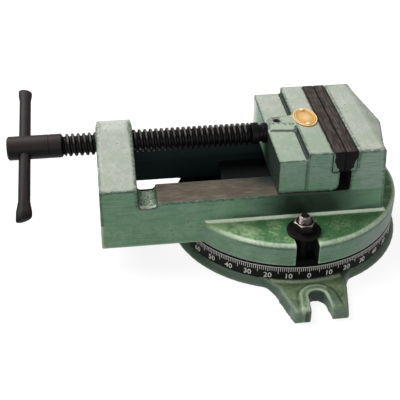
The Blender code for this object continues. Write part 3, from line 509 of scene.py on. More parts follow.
class Socket:
    """A node's output in a sum: the operators add Math nodes."""

    def __init__(self, shader, output):
        self.shader = shader
        self.output = output

    def math(self, operation, first, second=0.0):
        """Add one Math node."""
        return self.shader.node("ShaderNodeMath", {"operation": operation}, {0: first, 1: second})

    def __add__(self, other):
        return self.math("ADD", self, other)

    def __sub__(self, other):
        return self.math("SUBTRACT", self, other)

    def __rsub__(self, other):
        return self.math("SUBTRACT", other, self)

    def __mul__(self, other):
        return self.math("MULTIPLY", self, other)

    def __truediv__(self, other):
        return self.math("DIVIDE", self, other)

    def __rtruediv__(self, other):
        return self.math("DIVIDE", other, self)

    def __gt__(self, other):
        return self.math("GREATER_THAN", self, other)

    def __lt__(self, other):
        return self.math("LESS_THAN", self, other)

    def __or__(self, other):
        return self.math("MAXIMUM", self, other)

    def __and__(self, other):
        return self.math("MINIMUM", self, other)

    def __abs__(self):
        return self.math("ABSOLUTE", self)

    __radd__ = __add__
    __rmul__ = __mul__
    __ror__ = __or__
    __rand__ = __and__


class Shader:
    """The nodes of a material or a world, and the shader that they feed."""

    def __init__(self, owner, surface):
        owner.use_nodes = True
        self.nodes = owner.node_tree.nodes
        self.links = owner.node_tree.links
        self.surface = self.nodes[surface].inputs

    def node(self, kind, settings=None, sockets=None, output=0):
        """Add a node: its settings first, then the values or links of its sockets."""
        made = self.nodes.new(kind)
        for key, value in (settings or {}).items():
            setattr(made, key, value)
        for key, value in (sockets or {}).items():
            self.put(made.inputs[key], value)
        return Socket(self, made.outputs[output])

    def put(self, socket, value):
        """Link a socket, or set its value."""
        if isinstance(value, Socket):
            self.links.new(value.output, socket)
        elif socket.type == "RGBA":
            socket.default_value = (*value, 1)
        else:
            socket.default_value = value

    def place(self):
        """Where a point of the surface lies, in metres."""
        return self.node("ShaderNodeTexCoord", output="Object")

    def split(self, vector):
        """The three parts of a vector."""
        first = self.node("ShaderNodeSeparateXYZ", None, {"Vector": vector})
        return [Socket(self, output) for output in first.output.node.outputs]

    def facing(self):
        """The three parts of the way that the surface faces."""
        return self.split(self.node("ShaderNodeTexCoord", output="Normal"))

    def stored(self, name):
        """A value that the mesh carries."""
        return self.node("ShaderNodeAttribute", {"attribute_name": name}, output="Fac")

    def stretched(self, vector, scale):
        """A vector with each part scaled."""
        return self.node("ShaderNodeVectorMath", {"operation": "MULTIPLY"}, {0: vector, 1: scale})

    def out(self, vector):
        """How far a place lies from the swivel axis."""
        return self.node("ShaderNodeVectorMath", {"operation": "LENGTH"}, {
            0: self.stretched(vector, (1, 1, 0))}, "Value")

    def mottle(self, vector, size, detail=3.0, roughness=0.55):
        """Clouds from 0 to 1, about a size apart."""
        return self.node("ShaderNodeTexNoise", None, {
            "Vector": vector, "Scale": 1 / size, "Detail": detail, "Roughness": roughness})

    def grain(self, vector, size):
        """Finer and harder clouds."""
        return self.mottle(vector, size, FINE_DETAIL, FINE_ROUGHNESS)

    def specks(self, vector, size):
        """Distance to scattered points, which lie about a size apart."""
        return self.node("ShaderNodeTexVoronoi", None, {"Vector": vector, "Scale": 1 / size})

    def ray(self, kind):
        """1 for the rays of a kind."""
        return self.node("ShaderNodeLightPath", output=kind)

    def step(self, value, low, high):
        """0 below the low value, 1 above the high value, and smooth between them."""
        return self.node("ShaderNodeMapRange", {"interpolation_type": "SMOOTHSTEP"}, {
            "Value": value, "From Min": low, "From Max": high})

    def near(self, value, middle, reach):
        """1 at the middle, 0 from the reach outwards."""
        return 1 - self.step(abs(value - middle), reach / 2, reach)

    def mix(self, factor, first, second):
        """Mix two colours; the node keeps the factor between 0 and 1."""
        return self.node("ShaderNodeMix", {"data_type": "RGBA"}, {0: factor, 6: first, 7: second}, 2)

    def layers(self, color, *coats):
        """Lay coats over a colour, each with its amount first."""
        for amount, coat in coats:
            color = self.mix(amount, color, coat)
        return color

    def finish(self, base, roughness, metallic=0.0, height=None, bump_distance=0.0,
               bump_strength=0.6, specular=0.5):
        """Feed the surface of a material."""
        self.put(self.surface["Base Color"], base)
        self.put(self.surface["Roughness"], roughness)
        self.put(self.surface["Metallic"], metallic)
        self.put(self.surface["Specular IOR Level"], specular)
        if height is not None:
            self.put(self.surface["Normal"], self.node("ShaderNodeBump", None, {
                "Height": height, "Strength": bump_strength, "Distance": bump_distance}))


def made_once(build):
    """Let a material be built when it is first asked for, under its function's name."""
    def find(scene):
        """The material, built or found."""
        material = bpy.data.materials.get(build.__name__)
        if material is None:
            material = bpy.data.materials.new(build.__name__)
            build(scene, Shader(material, "Principled BSDF"))
        return material
    return find


def painted(shader, found, scene, side, side_worn):
    """Lay paint, wear, dirt, bare iron, painted highlights and painted shade over a casting, each where
    its mask says.
    """
    masks = defaultdict(float, found)
    paint = scene.vise_paint
    place = shader.place()
    edge = shader.stored("edge")
    clouds = shader.mottle(place, paint.cloud_size)
    mottle = shader.mottle(place, paint.mottle_size, FINE_DETAIL, SKIN_ROUGHNESS)
    fine = shader.mottle(place, paint.fine_size)
    specks = shader.specks(place, paint.pit_size)
    streaks = shader.mottle(shader.stretched(place, paint.streak_stretch), paint.fine_size * 2)
    scratches = shader.mottle(shader.stretched(place, paint.scratch_stretch), paint.fine_size,
                              SCRATCH_DETAIL)

    worn = shader.step(clouds + mottle, *WORN)
    # Rubbed high spots; those added on the flange's left are partly painted light
    thick = shader.step(mottle * 0.6 + fine * 0.3 + clouds * 0.7 + masks["rub"], *RUBBED)
    outline = shader.step(edge + fine * 0.06, *OUTLINE) * (1 - masks["cast"])
    outline = outline * shader.step(mottle, *BROKEN)
    # Pale rounded edges: partly worn paint, partly a painted highlight
    edge_wear_and_highlight = shader.step(edge + fine * 0.10, *CONVEX) * masks["cast"]
    # Painted shade in hollow corners
    hollow = (1 - shader.step(edge + mottle * 0.06, *HOLLOW)) * masks["crease"]
    pit = (1 - shader.step(specks, *PITTED)) * shader.step(clouds, *PIT_CLOUDS)
    # Floors of the openings take the darker painted shade
    bottom = shader.step(shader.facing()[2], *LEVEL) | masks["deep"]

    jaw_side = shader.mix(worn * 0.6 + masks["chalk"], paint.jaw_side, paint.jaw_side_worn)
    groove = shader.mix(shader.step(mottle * 0.5 + fine, *GRAINY), paint.rough, paint.fillet)
    # The ground coat takes painted shade on the movable jaw's near side and painted light on the land's
    # sides.
    ground = shader.layers(
        paint.ground, (worn, paint.ground_worn), (masks["dull"], paint.upright),
        (masks["lit_land_side"] * 0.75, paint.fillet))
    # The ways' steel takes painted shade near the jaws and below the plates.
    steel = shader.layers(
        paint.steel, (shader.step(scratches + clouds * 0.5, *SCRATCHED), paint.steel_bright),
        (masks["way_shade"], paint.inside))
    color = shader.layers(
        side, (worn * 0.55, side_worn), (masks["jaws"], jaw_side), (masks["right"], paint.right_end),
        (shader.step(streaks, *STREAKED) * 0.24, paint.crease),
        (masks["rough"], shader.mix(thick, paint.rough, paint.rough_pale)), (masks["groove"], groove),
        # The lugs' pale strip beside the band is painted light.
        (masks["lug"], shader.mix(thick | masks["strip"], paint.lug, paint.lug_pale)),
        (masks["lug"] * masks["strip"] * (mottle * 1.5 & 1), paint.edge), (masks["ground"], ground),
        # Painted light on the jaw's far end and the groove's lip; painted shade below the jaws
        (masks["pale"], paint.far_end), (masks["shade"] * (0.75 + clouds * 0.5), paint.shade),
        # Pale rounded edges, and the painted highlights of the flange's rim and fillet
        (edge_wear_and_highlight * (0.45 + mottle * 0.8), paint.edge),
        (masks["rim"] * (mottle * 1.1 + masks["rub"] - 0.05), paint.fillet),
        (masks["fillet"] * (0.5 + mottle), paint.fillet), (outline * 0.65, paint.crease),
        # Painted shade in hollow corners and in the dark places
        (hollow, paint.crease), (masks["dark"] * (0.7 + mottle * 0.6), paint.dark),
        (pit * (1 - masks["way"]), paint.pit),
        # Painted shade inside the openings
        (masks["inside"], shader.mix(bottom, paint.inside, paint.inside_low)),
        (masks["way"], steel))
    roughness = (paint.roughness + mottle * 0.14 + masks["inside"] * 0.6) & 1
    height = masks["rough"] * mottle * 1.4 + mottle * 0.4 + fine * 0.3 - pit * 0.8
    height = height * (1 - masks["way"] * 0.8)
    shader.finish(color, roughness, masks["way"] * 0.4, height, paint.bump, specular=paint.highlight)


class CastingMasks:
    """Where each finish of the body and the movable jaw lies."""

    def __init__(self, shader, casting):
        place = shader.place()
        self.shader = shader
        self.casting = casting
        self.soft = casting.softness
        self.x, self.y, self.z = shader.split(place)
        _, self.across, self.up = shader.facing()
        self.out = shader.out(place)
        self.side = abs(self.y)
        self.way_level = jaw_top - casting.way_drop
        self.step_level = jaw_top - casting.step_drop
        self.step_place = jaw_left + casting.lower_step
        self.flange_top = boxes["vise_body"][0].z + casting.flange_rise
        self.bracket_face = -casting.bracket_reach
        self.upright = shader.step(self.up, *UPRIGHT)
        self.wall = 1 - self.upright
        self.jaw = self.x > jaw_left - self.soft * 3
        self.jaw = self.jaw * shader.step(self.z, self.way_level, self.way_level + self.soft)
        self.movable = self.jaw * (self.x < casting.pocket_start)

    def merged(self):
        """Every mask by name: where two places ask for one finish, the stronger one counts."""
        masks = {}
        for places in (self.tops(), self.jaw_sides(), self.ways(), self.flange(), self.openings(),
                       self.shades()):
            for name, mask in places.items():
                masks[name] = masks[name] | mask if name in masks else mask
        return masks

    def tops(self):
        """Smooth tops of the jaws, slopes of the nut bracket and the land over the journal, with a partly
        painted sheen, painted shade and painted light.
        """
        shader, casting, soft = self.shader, self.casting, self.soft
        shoulder = self.way_level + casting.shoulder_rise
        bracket = self.x < self.bracket_face + soft
        land = self.movable * (self.side < casting.land_half_width) * (self.x < self.step_place)
        tops = shader.step(self.z, self.step_level - soft * 2, self.step_level)
        slopes = bracket * shader.step(self.z, shoulder - soft, shoulder + soft)
        # Pale tops and slopes, whose colour is partly a painted sheen
        ground = self.upright * (tops | slopes) | land * (self.z > self.step_level + soft * 2)
        # Painted shade: the movable jaw's tops turn darker towards the near side.
        dull = self.movable * (1 - shader.step(self.y, -half_width, half_width)) * 0.36
        # Painted light: the land's sides take the pale colour of the tops.
        lit_land_side = land * (abs(self.across) > LAND_SIDE)
        # Painted shade: thin dark lines at the foot of the land's sides and of the bracket's slopes.
        land_foot = lit_land_side * shader.near(self.z, self.step_level + soft, soft * 2)
        bracket_foot = bracket * shader.near(self.z, shoulder, soft * 3) * self.wall
        return {"ground": ground, "dull": dull, "lit_land_side": lit_land_side,
                "dark": land_foot * 0.2 | bracket_foot * 0.3}

    def jaw_sides(self):
        """End face, sides and steps of the jaws, with painted light on the end face's far half and painted
        shade on its near half, its upper edge and the steps.
        """
        shader, casting, soft = self.shader, self.casting, self.soft
        plate_low, plate_high = boxes["fixed_jaw_plate"]
        end_face = self.movable * self.wall * (self.x < jaw_left + soft * 2)
        chalk = shader.step(self.x, casting.pocket_end, plate_high.x + soft * 20) * 0.9
        sides = self.jaw * (shader.step(self.z, self.way_level, plate_low.z) | chalk)
        # The far half of the end face gets painted light; its near half and its upper edge get painted
        # shade.
        far = shader.step(self.y, half_width * casting.far_start_share, half_width)
        near = 1 - shader.step(self.y, -half_width * casting.near_full_share,
                               half_width * casting.near_end_share)
        crown = shader.step(self.z, self.step_level - soft * 7, self.step_level - soft * 2)
        # Painted shade: a dark line where the lower step meets the upper block, and on the step's riser.
        split = shader.near(self.x, self.step_place, soft * 3) * (self.side > half_width - soft * 5)
        riser = self.movable * (self.z > self.step_level - soft * 2) * (self.z < jaw_top - soft * 2)
        riser = riser * (abs(self.x - self.step_place + soft) < soft * 3)
        riser = riser * (self.side < half_width - soft * 3) * (self.side > casting.land_half_width)
        # Painted shade: darker towards the jaw's foot on the ways.
        foot = 1 - shader.step(self.z, self.way_level, self.way_level + soft * 10)
        dark = end_face * (near | crown * 0.9) | split * self.movable * 0.35 | riser * 1.2
        return {"jaws": sides, "chalk": chalk, "pale": end_face * far,
                "dark": dark | foot * self.movable * self.wall * 0.7}

    def ways(self):
        """Ground ways, and the relief groove beside the nut bracket."""
        shader, casting, soft = self.shader, self.casting, self.soft
        relief_end = self.bracket_face + casting.relief_width
        way = shader.step(self.up, *WAY_TOP) * shader.near(self.z, self.way_level, soft * 2)
        way = way * (self.x > relief_end) * (self.x < casting.pocket_start)
        inner = 1 - shader.step(self.side, casting.channel_width / 2, half_width)
        # Painted shadow of the jaws on the ways, darkening to black below the plates
        way_shade = shader.step(self.x, casting.shade_start, jaw_left) * inner * 0.95
        way_shade = way_shade | shader.step(self.x, casting.pocket_start - casting.plate_shade,
                                            casting.pocket_start)
        groove = (self.x > self.bracket_face - soft) * (self.x < relief_end + soft) * (1 - way)
        groove = groove * (self.z < self.way_level + soft)
        groove = groove * (self.z > self.way_level - casting.ledge_drop)
        groove = groove * shader.step(self.up, *GROOVE_FLOOR)
        # The groove's lip gets painted light and its walls painted shade.
        lip = shader.step(self.side, half_width - soft * 8, half_width - soft * 4)
        return {"way": way, "way_shade": way_shade, "rough": groove, "groove": groove * 0.9,
                "pale": groove * lip * shader.step(self.up, *LIP_TOP),
                "dark": groove * (1 - shader.step(self.up, *GROOVE_WALL)) * 0.75,
                # Painted shade where the groove meets the channel
                "inside": groove * (self.side < casting.channel_width / 2 + soft * 8)}

    def flange(self):
        """Rough top, painted highlights on the rim and along the fillet, painted shade under the rim, and
        right end of the flange.
        """
        shader, casting, soft = self.shader, self.casting, self.soft
        top = self.flange_top
        rough = shader.step(self.up, *FLANGE_TOP) * (1 - shader.step(self.z, top + soft, top + soft * 4))
        reached = shader.step(self.x, casting.hem_start, casting.hem_full)
        # Lighter towards the left: partly rubbed paint, partly painted light
        rub = casting.rub_left - shader.step(self.x, casting.rub_start, casting.rub_end) * casting.rub_fall
        # Painted highlight on the flange's rounded rim
        rim = shader.step(self.out, flange_radius - casting.rim_band, flange_radius - casting.rim_band / 2)
        rim = rim * shader.near(self.z, top, soft * 6) * (self.out < flange_radius + soft) * reached
        # Painted highlight along the fillet at the foot of the body
        fillet = shader.near(self.z, top + casting.fillet_height, casting.fillet_height)
        fillet = fillet * (self.out < flange_radius - soft)
        # Painted shade: a thin dark line below the rim's highlight
        lip = shader.near(self.z, top - casting.rim_band, soft * 3) * (self.out > flange_radius - soft * 2)
        lip = lip * (self.out < flange_radius + soft) * reached
        right = shader.step(self.x, flange_radius * casting.right_start_share,
                            flange_radius * casting.right_full_share)
        right = right * (1 - shader.step(self.z, top - casting.flange_rise * 0.8, top))
        round_side = shader.near(self.out, flange_radius, soft * 3) * self.wall * (self.z < top - soft * 2)
        cast = 1 - shader.step(self.z, top + soft * 5, top + soft * 10)
        return {"rough": rough, "rub": rub, "rim": rim, "fillet": fillet, "right": right * 0.8,
                "jaws": round_side * 0.5, "dark": lip * 0.35, "cast": cast, "crease": 0.8 * (1 - cast)}

    def openings(self):
        """Painted shade in the channel between the rails, the gap below the jaw plates and the slots of
        the flange.
        """
        shader, casting, soft = self.shader, self.casting, self.soft
        channel = (self.side < casting.channel_width / 2 + soft * 3) * (self.z < self.way_level - soft)
        undercut = self.side < casting.undercut_width / 2 + soft
        undercut = undercut * (self.z < self.way_level - casting.ledge_drop + soft * 3)
        channel = (channel | undercut) * (self.x > self.bracket_face + soft)
        channel = channel * (self.x < casting.channel_end + soft)
        pocket = (self.x > casting.pocket_start) * (self.x < casting.pocket_end)
        pocket = pocket * (self.z < boxes["fixed_jaw_plate"][0].z + soft)
        pocket = pocket * (self.z > self.way_level - soft * 2) * (abs(self.across) < POCKET_SIDE)
        slot = shader.step(self.flange_top - self.z, soft * 2, soft * 6)
        slot = slot * (abs(self.x) < casting.slot_half_width + soft)
        return {"inside": channel | pocket | slot, "deep": pocket | slot}

    def shades(self):
        """Painted shade below the jaws and in the corner above the flange."""
        shader, casting, soft = self.shader, self.casting, self.soft
        top = self.flange_top
        below = 1 - shader.step(self.z, self.way_level - soft, self.way_level + soft)
        below = below * shader.step(self.x, casting.shade_start, casting.shade_full)
        below = below * (1 - shader.step(self.x, casting.shade_fade, casting.shade_end))
        hem = 1 - shader.step(self.z, top + soft, top + casting.hem_height)
        hem = hem * shader.step(self.x, casting.hem_start, casting.hem_full)
        hem = hem * (1 - shader.step(self.x, casting.shade_end, casting.shade_end + soft * 10))
        return {"shade": (below | hem * 0.9) * (self.z > top + soft * 2)}


@made_once
def casting_paint(scene, shader):
    """Paint of the body and the movable jaw."""
    paint = scene.vise_paint
    masks = CastingMasks(shader, scene.vise_casting).merged()
    painted(shader, masks, scene, paint.upright, paint.upright_worn)


@made_once
def base_paint(scene, shader):
    """Paint of the base, with painted light on the lugs' strips and painted shade in their slots and where
    the base is seen through the flange's slots.
    """
    casting = scene.vise_casting
    paint = scene.vise_paint
    place = shader.place()
    across = abs(shader.split(place)[0])
    out = shader.out(place)
    soft = casting.softness
    band_radius = boxes["degree_band"][1].x
    top = shader.step(shader.facing()[2], *BASE_TOP)
    lug = 1 - shader.step(across, casting.lug_half_width, casting.lug_half_width + soft * 5)
    # Painted light: a pale strip on each lug beside the band
    strip = 1 - shader.step(out, band_radius + casting.lug_strip / 2, band_radius + casting.lug_strip)
    # Painted shade on the walls of the lugs' slots
    notch = (across < casting.lug_notch) * (1 - top) * (out > band_radius)
    tip = shader.step(out, casting.tip_reach, casting.tip_reach + soft * 4) * (1 - notch)
    inner = (across < casting.lug_notch + soft * 6) * (out > band_radius)
    masks = {"inside": out < band_radius - soft, "lug": top * lug, "strip": strip * 0.8,
             "cast": 0.28 + inner * 0.4, "crease": 0.9, "dark": notch * 0.7, "jaws": tip * 0.45}
    painted(shader, masks, scene, paint.foot, paint.foot_worn)


def steel_grain(shader, steel):
    """Place, large clouds and fine grain of a piece of black steel."""
    place = shader.place()
    return place, shader.mottle(place, steel.cloud_size), shader.grain(place, steel.fine_size)


def oxide_finish(shader, steel, color, fine, roughness):
    """Feed the surface of a piece of black steel."""
    shader.finish(color, roughness + fine * steel.grain_roughness, 0.0, fine, steel.bump,
                  steel.bump_share, steel.highlight)


@made_once
def black_oxide(scene, shader):
    """Blackened steel of the washers, the small screws and the hidden pieces."""
    steel = scene.vise_steel
    _, clouds, fine = steel_grain(shader, steel)
    color = shader.mix(shader.step(clouds + fine, *HANDLED), steel.oxide, steel.oxide_worn)
    oxide_finish(shader, steel, color, fine, steel.roughness)


@made_once
def screw_oxide(scene, shader):
    """Blackened steel of the lead screw: its worn crests carry a painted highlight on the thread's upper
    side, and its head is painted lighter on top.
    """
    steel = scene.vise_steel
    screw = scene.vise_screw
    place, clouds, fine = steel_grain(shader, steel)
    x, y, z = shader.split(place)
    up = shader.facing()[2]
    lift = z - screw_level
    reach = shader.node("ShaderNodeMath", {"operation": "SQRT"}, {0: y * y + lift * lift})
    core = screw.thread_radius - screw.thread_depth
    head_end = boxes["lead_screw"][0].x + screw.head_length
    head = 1 - shader.step(x, head_end - screw.head_chamfer, head_end)
    crest = shader.step(reach, core + screw.thread_depth * 0.75, core + screw.thread_depth * 0.95)
    # Only crests that face up: a painted highlight
    crest = crest * (1 - head) * (x < jaw_left - screw.end_clearance) * shader.step(up, *THREAD_TOP)
    color = shader.layers(
        steel.oxide, (crest * shader.step(fine + clouds * 0.5, *CREST_RUBBED), steel.thread_worn),
        # Painted light on top of the head
        (head * shader.step(up, *HEAD_TOP) * (0.55 + fine * 0.6), steel.handled))
    oxide_finish(shader, steel, color, fine, steel.screw_roughness)


@made_once
def bar_oxide(scene, shader):
    """Blackened steel of the cross bar, with a painted highlight in brown along its upper side."""
    steel = scene.vise_steel
    _, clouds, fine = steel_grain(shader, steel)
    across, _, up = shader.facing()
    # Painted highlight along the side of the bar that faces up
    top = shader.step(across * 0.45 + up * 0.90, *BAR_TOP)
    color = shader.layers(steel.oxide, (fine * 0.4, steel.oxide_worn),
                          (top * (0.35 + clouds * 0.9), steel.handled))
    oxide_finish(shader, steel, color, fine, steel.roughness)


@made_once
def worn_oxide(scene, shader):
    """Blackened steel of the clamp nuts and bolts, with bare rubbed bevels that face up and carry a
    painted glint.
    """
    steel = scene.vise_steel
    fine = shader.grain(shader.place(), steel.fine_size)
    up = shader.facing()[2]
    # Bevels that face up: bare steel and a painted glint
    rubbed = shader.step(up, *BEVEL_LOW) * (1 - shader.step(up, *BEVEL_HIGH))
    color = shader.layers(steel.oxide, (fine, steel.oxide_worn),
                          (rubbed * shader.step(fine, *EDGE_RUBBED), steel.glint))
    shader.finish(color, steel.nut_roughness + fine * 0.1, rubbed * 0.6, fine, steel.bump,
                  specular=steel.nut_highlight)


@made_once
def plate_steel(scene, shader):
    """Ground steel of the jaw plates, with painted shade that blackens the ends, the seam and the lines
    where they meet the jaws, and the jaws' paint spilt over the ends.
    """
    steel = scene.vise_steel
    low, high = boxes["fixed_jaw_plate"]
    place = shader.place()
    x, _, z = shader.split(place)
    lines = shader.mottle(shader.stretched(place, steel.grind_stretch), steel.fine_size)
    clouds = shader.mottle(place, steel.cloud_size)
    seam = (low.x + boxes["movable_jaw_plate"][1].x) / 2
    away = abs(x - seam)
    # Painted shade: black ends, a dark seam and dark lines where the plates meet the jaws
    end_face = shader.step(abs(shader.facing()[1]), *PLATE_END)
    edges = shader.near(away, high.x - low.x, steel.plate_line_width)
    ragged = away / (high.x - seam) - (z - low.z) / (high.z - low.z) * 0.45 + (clouds - 0.5) * 0.9
    color = shader.layers(
        steel.plate_line, (shader.step(lines + clouds * 0.4, *GROUND_LINES), steel.plate),
        (end_face, steel.plate_end), (edges * 0.7, steel.plate_end),
        (shader.near(x, seam, steel.plate_line_width) * 0.8, steel.plate_end),
        (end_face * shader.step(ragged, *SPILT), scene.vise_paint.jaw_side))
    shader.finish(color, steel.plate_roughness + lines * 0.1, 0.0, lines, steel.bump,
                  specular=steel.plate_highlight)


@made_once
def band_ground(scene, shader):
    """Black of the degree band."""
    fine = shader.mottle(shader.place(), scene.vise_steel.fine_size)
    color = shader.mix(fine, scene.vise_band.black, scene.vise_band.black_worn)
    shader.finish(color, scene.vise_band.roughness + fine * 0.2, specular=scene.vise_band.highlight)


@made_once
def band_marks(scene, shader):
    """Pale marks and numbers of the degree band."""
    fine = shader.mottle(shader.place(), scene.vise_steel.fine_size)
    color = shader.mix(fine, scene.vise_band.mark, scene.vise_band.mark_dark)
    shader.finish(color, scene.vise_band.roughness + fine * 0.1)


@made_once
def badge_brass(scene, shader):
    """Brass of the badge and its rivets, tarnished in its low places."""
    steel = scene.vise_steel
    place = shader.place()
    grain = shader.grain(place, steel.brass_grain)
    clouds = shader.mottle(place, steel.cloud_size)
    tarnish = (1 - shader.stored("raised")) * shader.step(grain + clouds * 0.5, *TARNISHED)
    color = shader.layers(steel.brass, (tarnish * 0.6, steel.brass_dark),
                          (shader.stored("wall"), steel.brass_dark))
    shader.finish(color, steel.brass_roughness + grain * 0.25, steel.brass_metal, grain, steel.bump,
                  steel.bump_share, steel.brass_highlight)


@made_once
def white_floor(scene, shader):
    """Floor that is white where it is seen directly, mirrored or through glass, and takes a shadow."""
    stage = scene.vise_stage
    seen = shader.ray("Is Camera Ray") | shader.ray("Is Glossy Ray") | shader.ray("Is Transmission Ray")
    glow = shader.mix(seen, (0, 0, 0), (stage.floor_glow_share,) * 3)
    shader.put(shader.surface["Emission Color"], glow)
    shader.put(shader.surface["Emission Strength"], 1.0)
    shader.finish(stage.floor_color, 1.0, specular=0.0)


def settle(piece):
    """Apply an object's modifiers."""
    done = piece.evaluated_get(bpy.context.evaluated_depsgraph_get())
    mesh = bpy.data.meshes.new_from_object(done)
    old = piece.data
    piece.modifiers.clear()
    piece.data = mesh
    bpy.data.meshes.remove(old)


def added(name, mesh):
    """A new object with this mesh."""
    piece = bpy.data.objects.new(name, mesh)
    bpy.context.scene.collection.objects.link(piece)
    return piece


def shaped(name, shape):
    """Close a bmesh into a new object."""
    bmesh.ops.remove_doubles(shape, verts=shape.verts[:], dist=WELD)
    bmesh.ops.dissolve_degenerate(shape, dist=WELD, edges=shape.edges[:])
    bmesh.ops.recalc_face_normals(shape, faces=shape.faces[:])
    mesh = bpy.data.meshes.new(name)
    shape.to_mesh(mesh)
    shape.free()
    return added(name, mesh)


def turns(sides):
    """Angles of the corners round a circle."""
    return [2 * math.pi * side / sides for side in range(sides)]


def bridge(shape, rows, wrap=True, loop=False):
    """Join rows of points with faces: round each row if wrapped, and last to first if looped."""
    made = [[shape.verts.new(point) for point in row] for row in rows]
    pairs = list(zip(made, made[1:]))
    if loop:
        pairs.append((made[-1], made[0]))
    for first, second in pairs:
        sides = len(first) if wrap else len(first) - 1
        for side in range(sides):
            after = (side + 1) % len(first)
            shape.faces.new((first[side], first[after], second[after], second[side]))


def ring(pose, along, radius, sides):
    """Points round the Z axis of a pose."""
    return [pose @ Vector((radius * math.cos(turn), radius * math.sin(turn), along))
            for turn in turns(sides)]


def turned(name, profile, sides, pose=Matrix.Identity(4), loop=False):
    """Turn a profile of (place along the axis, radius) about the Z axis of a pose."""
    shape = bmesh.new()
    bridge(shape, [ring(pose, along, radius, sides) for along, radius in profile], loop=loop)
    return shaped(name, shape)


def hexagon_corner(across_flats):
    """Middle to corner of a hexagon."""
    return across_flats / 2 / math.cos(math.pi / HEXAGON)


def block(name, low, high, edge=0.0):
    """A box with its edges rounded off."""
    shape = bmesh.new()
    bmesh.ops.create_cube(shape, size=1)
    for vertex in shape.verts:
        for axis in range(3):
            vertex.co[axis] = high[axis] if vertex.co[axis] > 0 else low[axis]
    if edge:
        bmesh.ops.bevel(shape, geom=shape.edges[:], offset=edge, segments=2, profile=0.5,
                        affect="EDGES")
    return shaped(name, shape)


def carve(piece, cutter, operation="DIFFERENCE"):
    """Cut an object with another one, which is then removed."""
    change = piece.modifiers.new("cut", "BOOLEAN")
    change.object = cutter
    change.operation = operation
    change.solver = "EXACT"
    settle(piece)
    spent = cutter.data
    bpy.data.objects.remove(cutter, do_unlink=True)
    bpy.data.meshes.remove(spent)


def joined(name, pieces):
    """Make one object of several."""
    shape = bmesh.new()
    for piece in pieces:
        shape.from_mesh(piece.data)
        spent = piece.data
        bpy.data.objects.remove(piece, do_unlink=True)
        bpy.data.meshes.remove(spent)
    return shaped(name, shape)


def finished(piece, material, body, slot, *nodes, sharp=SHARP):
    """Shade a piece, give it its material and its body, and hide the nodes that it stands for."""
    mesh = piece.data
    mesh.polygons.foreach_set("use_smooth", [True] * len(mesh.polygons))
    mesh.set_sharp_from_angle(angle=sharp)
    mesh.materials.clear()
    mesh.materials.append(material)
    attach(piece, body)
    if nodes:
        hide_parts(*nodes)
    if not mesh.polygons:
        raise RuntimeError(f"{piece.name} has no faces")


def along_x(y, z):
    """A pose whose Z axis runs along X."""
    return Matrix.Translation((0, y, z)) @ Matrix(((0, 0, 1, 0), (1, 0, 0, 0), (0, 1, 0, 0),
                                                   (0, 0, 0, 1)))


def through(node):
    """A pose whose Z axis runs up through the middle of a node."""
    low, high = boxes[node]
    return Matrix.Translation(((low.x + high.x) / 2, (low.y + high.y) / 2, 0))


def drill(start, end, radius):
    """Profile of a plain cylinder."""
    return [(start, 0), (start, radius), (end, radius), (end, 0)]


def collar(start, end, radius, edge):
    """Profile of a collar with both edges taken off."""
    return [(start, radius - edge), (start + edge, radius), (end - edge, radius), (end, radius - edge)]


def neighbour_means(values, edges):
    """The mean over each point's neighbours."""
    total = np.zeros_like(values)
    number = np.zeros(len(values))
    for here, there in ((0, 1), (1, 0)):
        np.add.at(total, edges[:, here], values[edges[:, there]])
        np.add.at(number, edges[:, here], 1)
    return total / number.reshape([-1] + [1] * (values.ndim - 1))


def arrays(mesh):
    """Points, normals and edges of a mesh."""
    points = np.empty(len(mesh.vertices) * 3)
    mesh.vertices.foreach_get("co", points)
    normals = np.empty(len(mesh.vertices) * 3)
    mesh.vertices.foreach_get("normal", normals)
    edges = np.empty(len(mesh.edges) * 2, dtype=np.int64)
    mesh.edges.foreach_get("vertices", edges)
    return points.reshape(-1, 3), normals.reshape(-1, 3), edges.reshape(-1, 2)


def round_rims(points, casting, turn):
    """Push the flats of the solid model's round rims out to the circle."""
    radii = np.hypot(points[:, 0], points[:, 1])
    pitch = 2 * np.pi / casting.rim_sides
    place = np.mod(np.arctan2(points[:, 1], points[:, 0]) - turn, pitch) - pitch / 2
    chosen = (radii > casting.rim_reach) & (radii < casting.rim_limit)
    factor = np.where(chosen, np.cos(place) / np.cos(pitch / 2), 1)
    factor = np.minimum(factor, np.maximum(cad_high.x / np.maximum(radii, WELD), 1))
    points[:, :2] *= factor[:, None]


def even_skin(name, node, grain):
    """A node's solid as one skin of small even faces."""
    piece = added(name, frame["nodes"][node].data.copy())
    shape = bmesh.new()
    shape.from_mesh(piece.data)
    bmesh.ops.remove_doubles(shape, verts=shape.verts[:], dist=WELD)
    shape.to_mesh(piece.data)
    shape.free()
    skin = piece.modifiers.new("skin", "REMESH")
    skin.mode = "VOXEL"
    skin.voxel_size = grain
    settle(piece)
    return piece


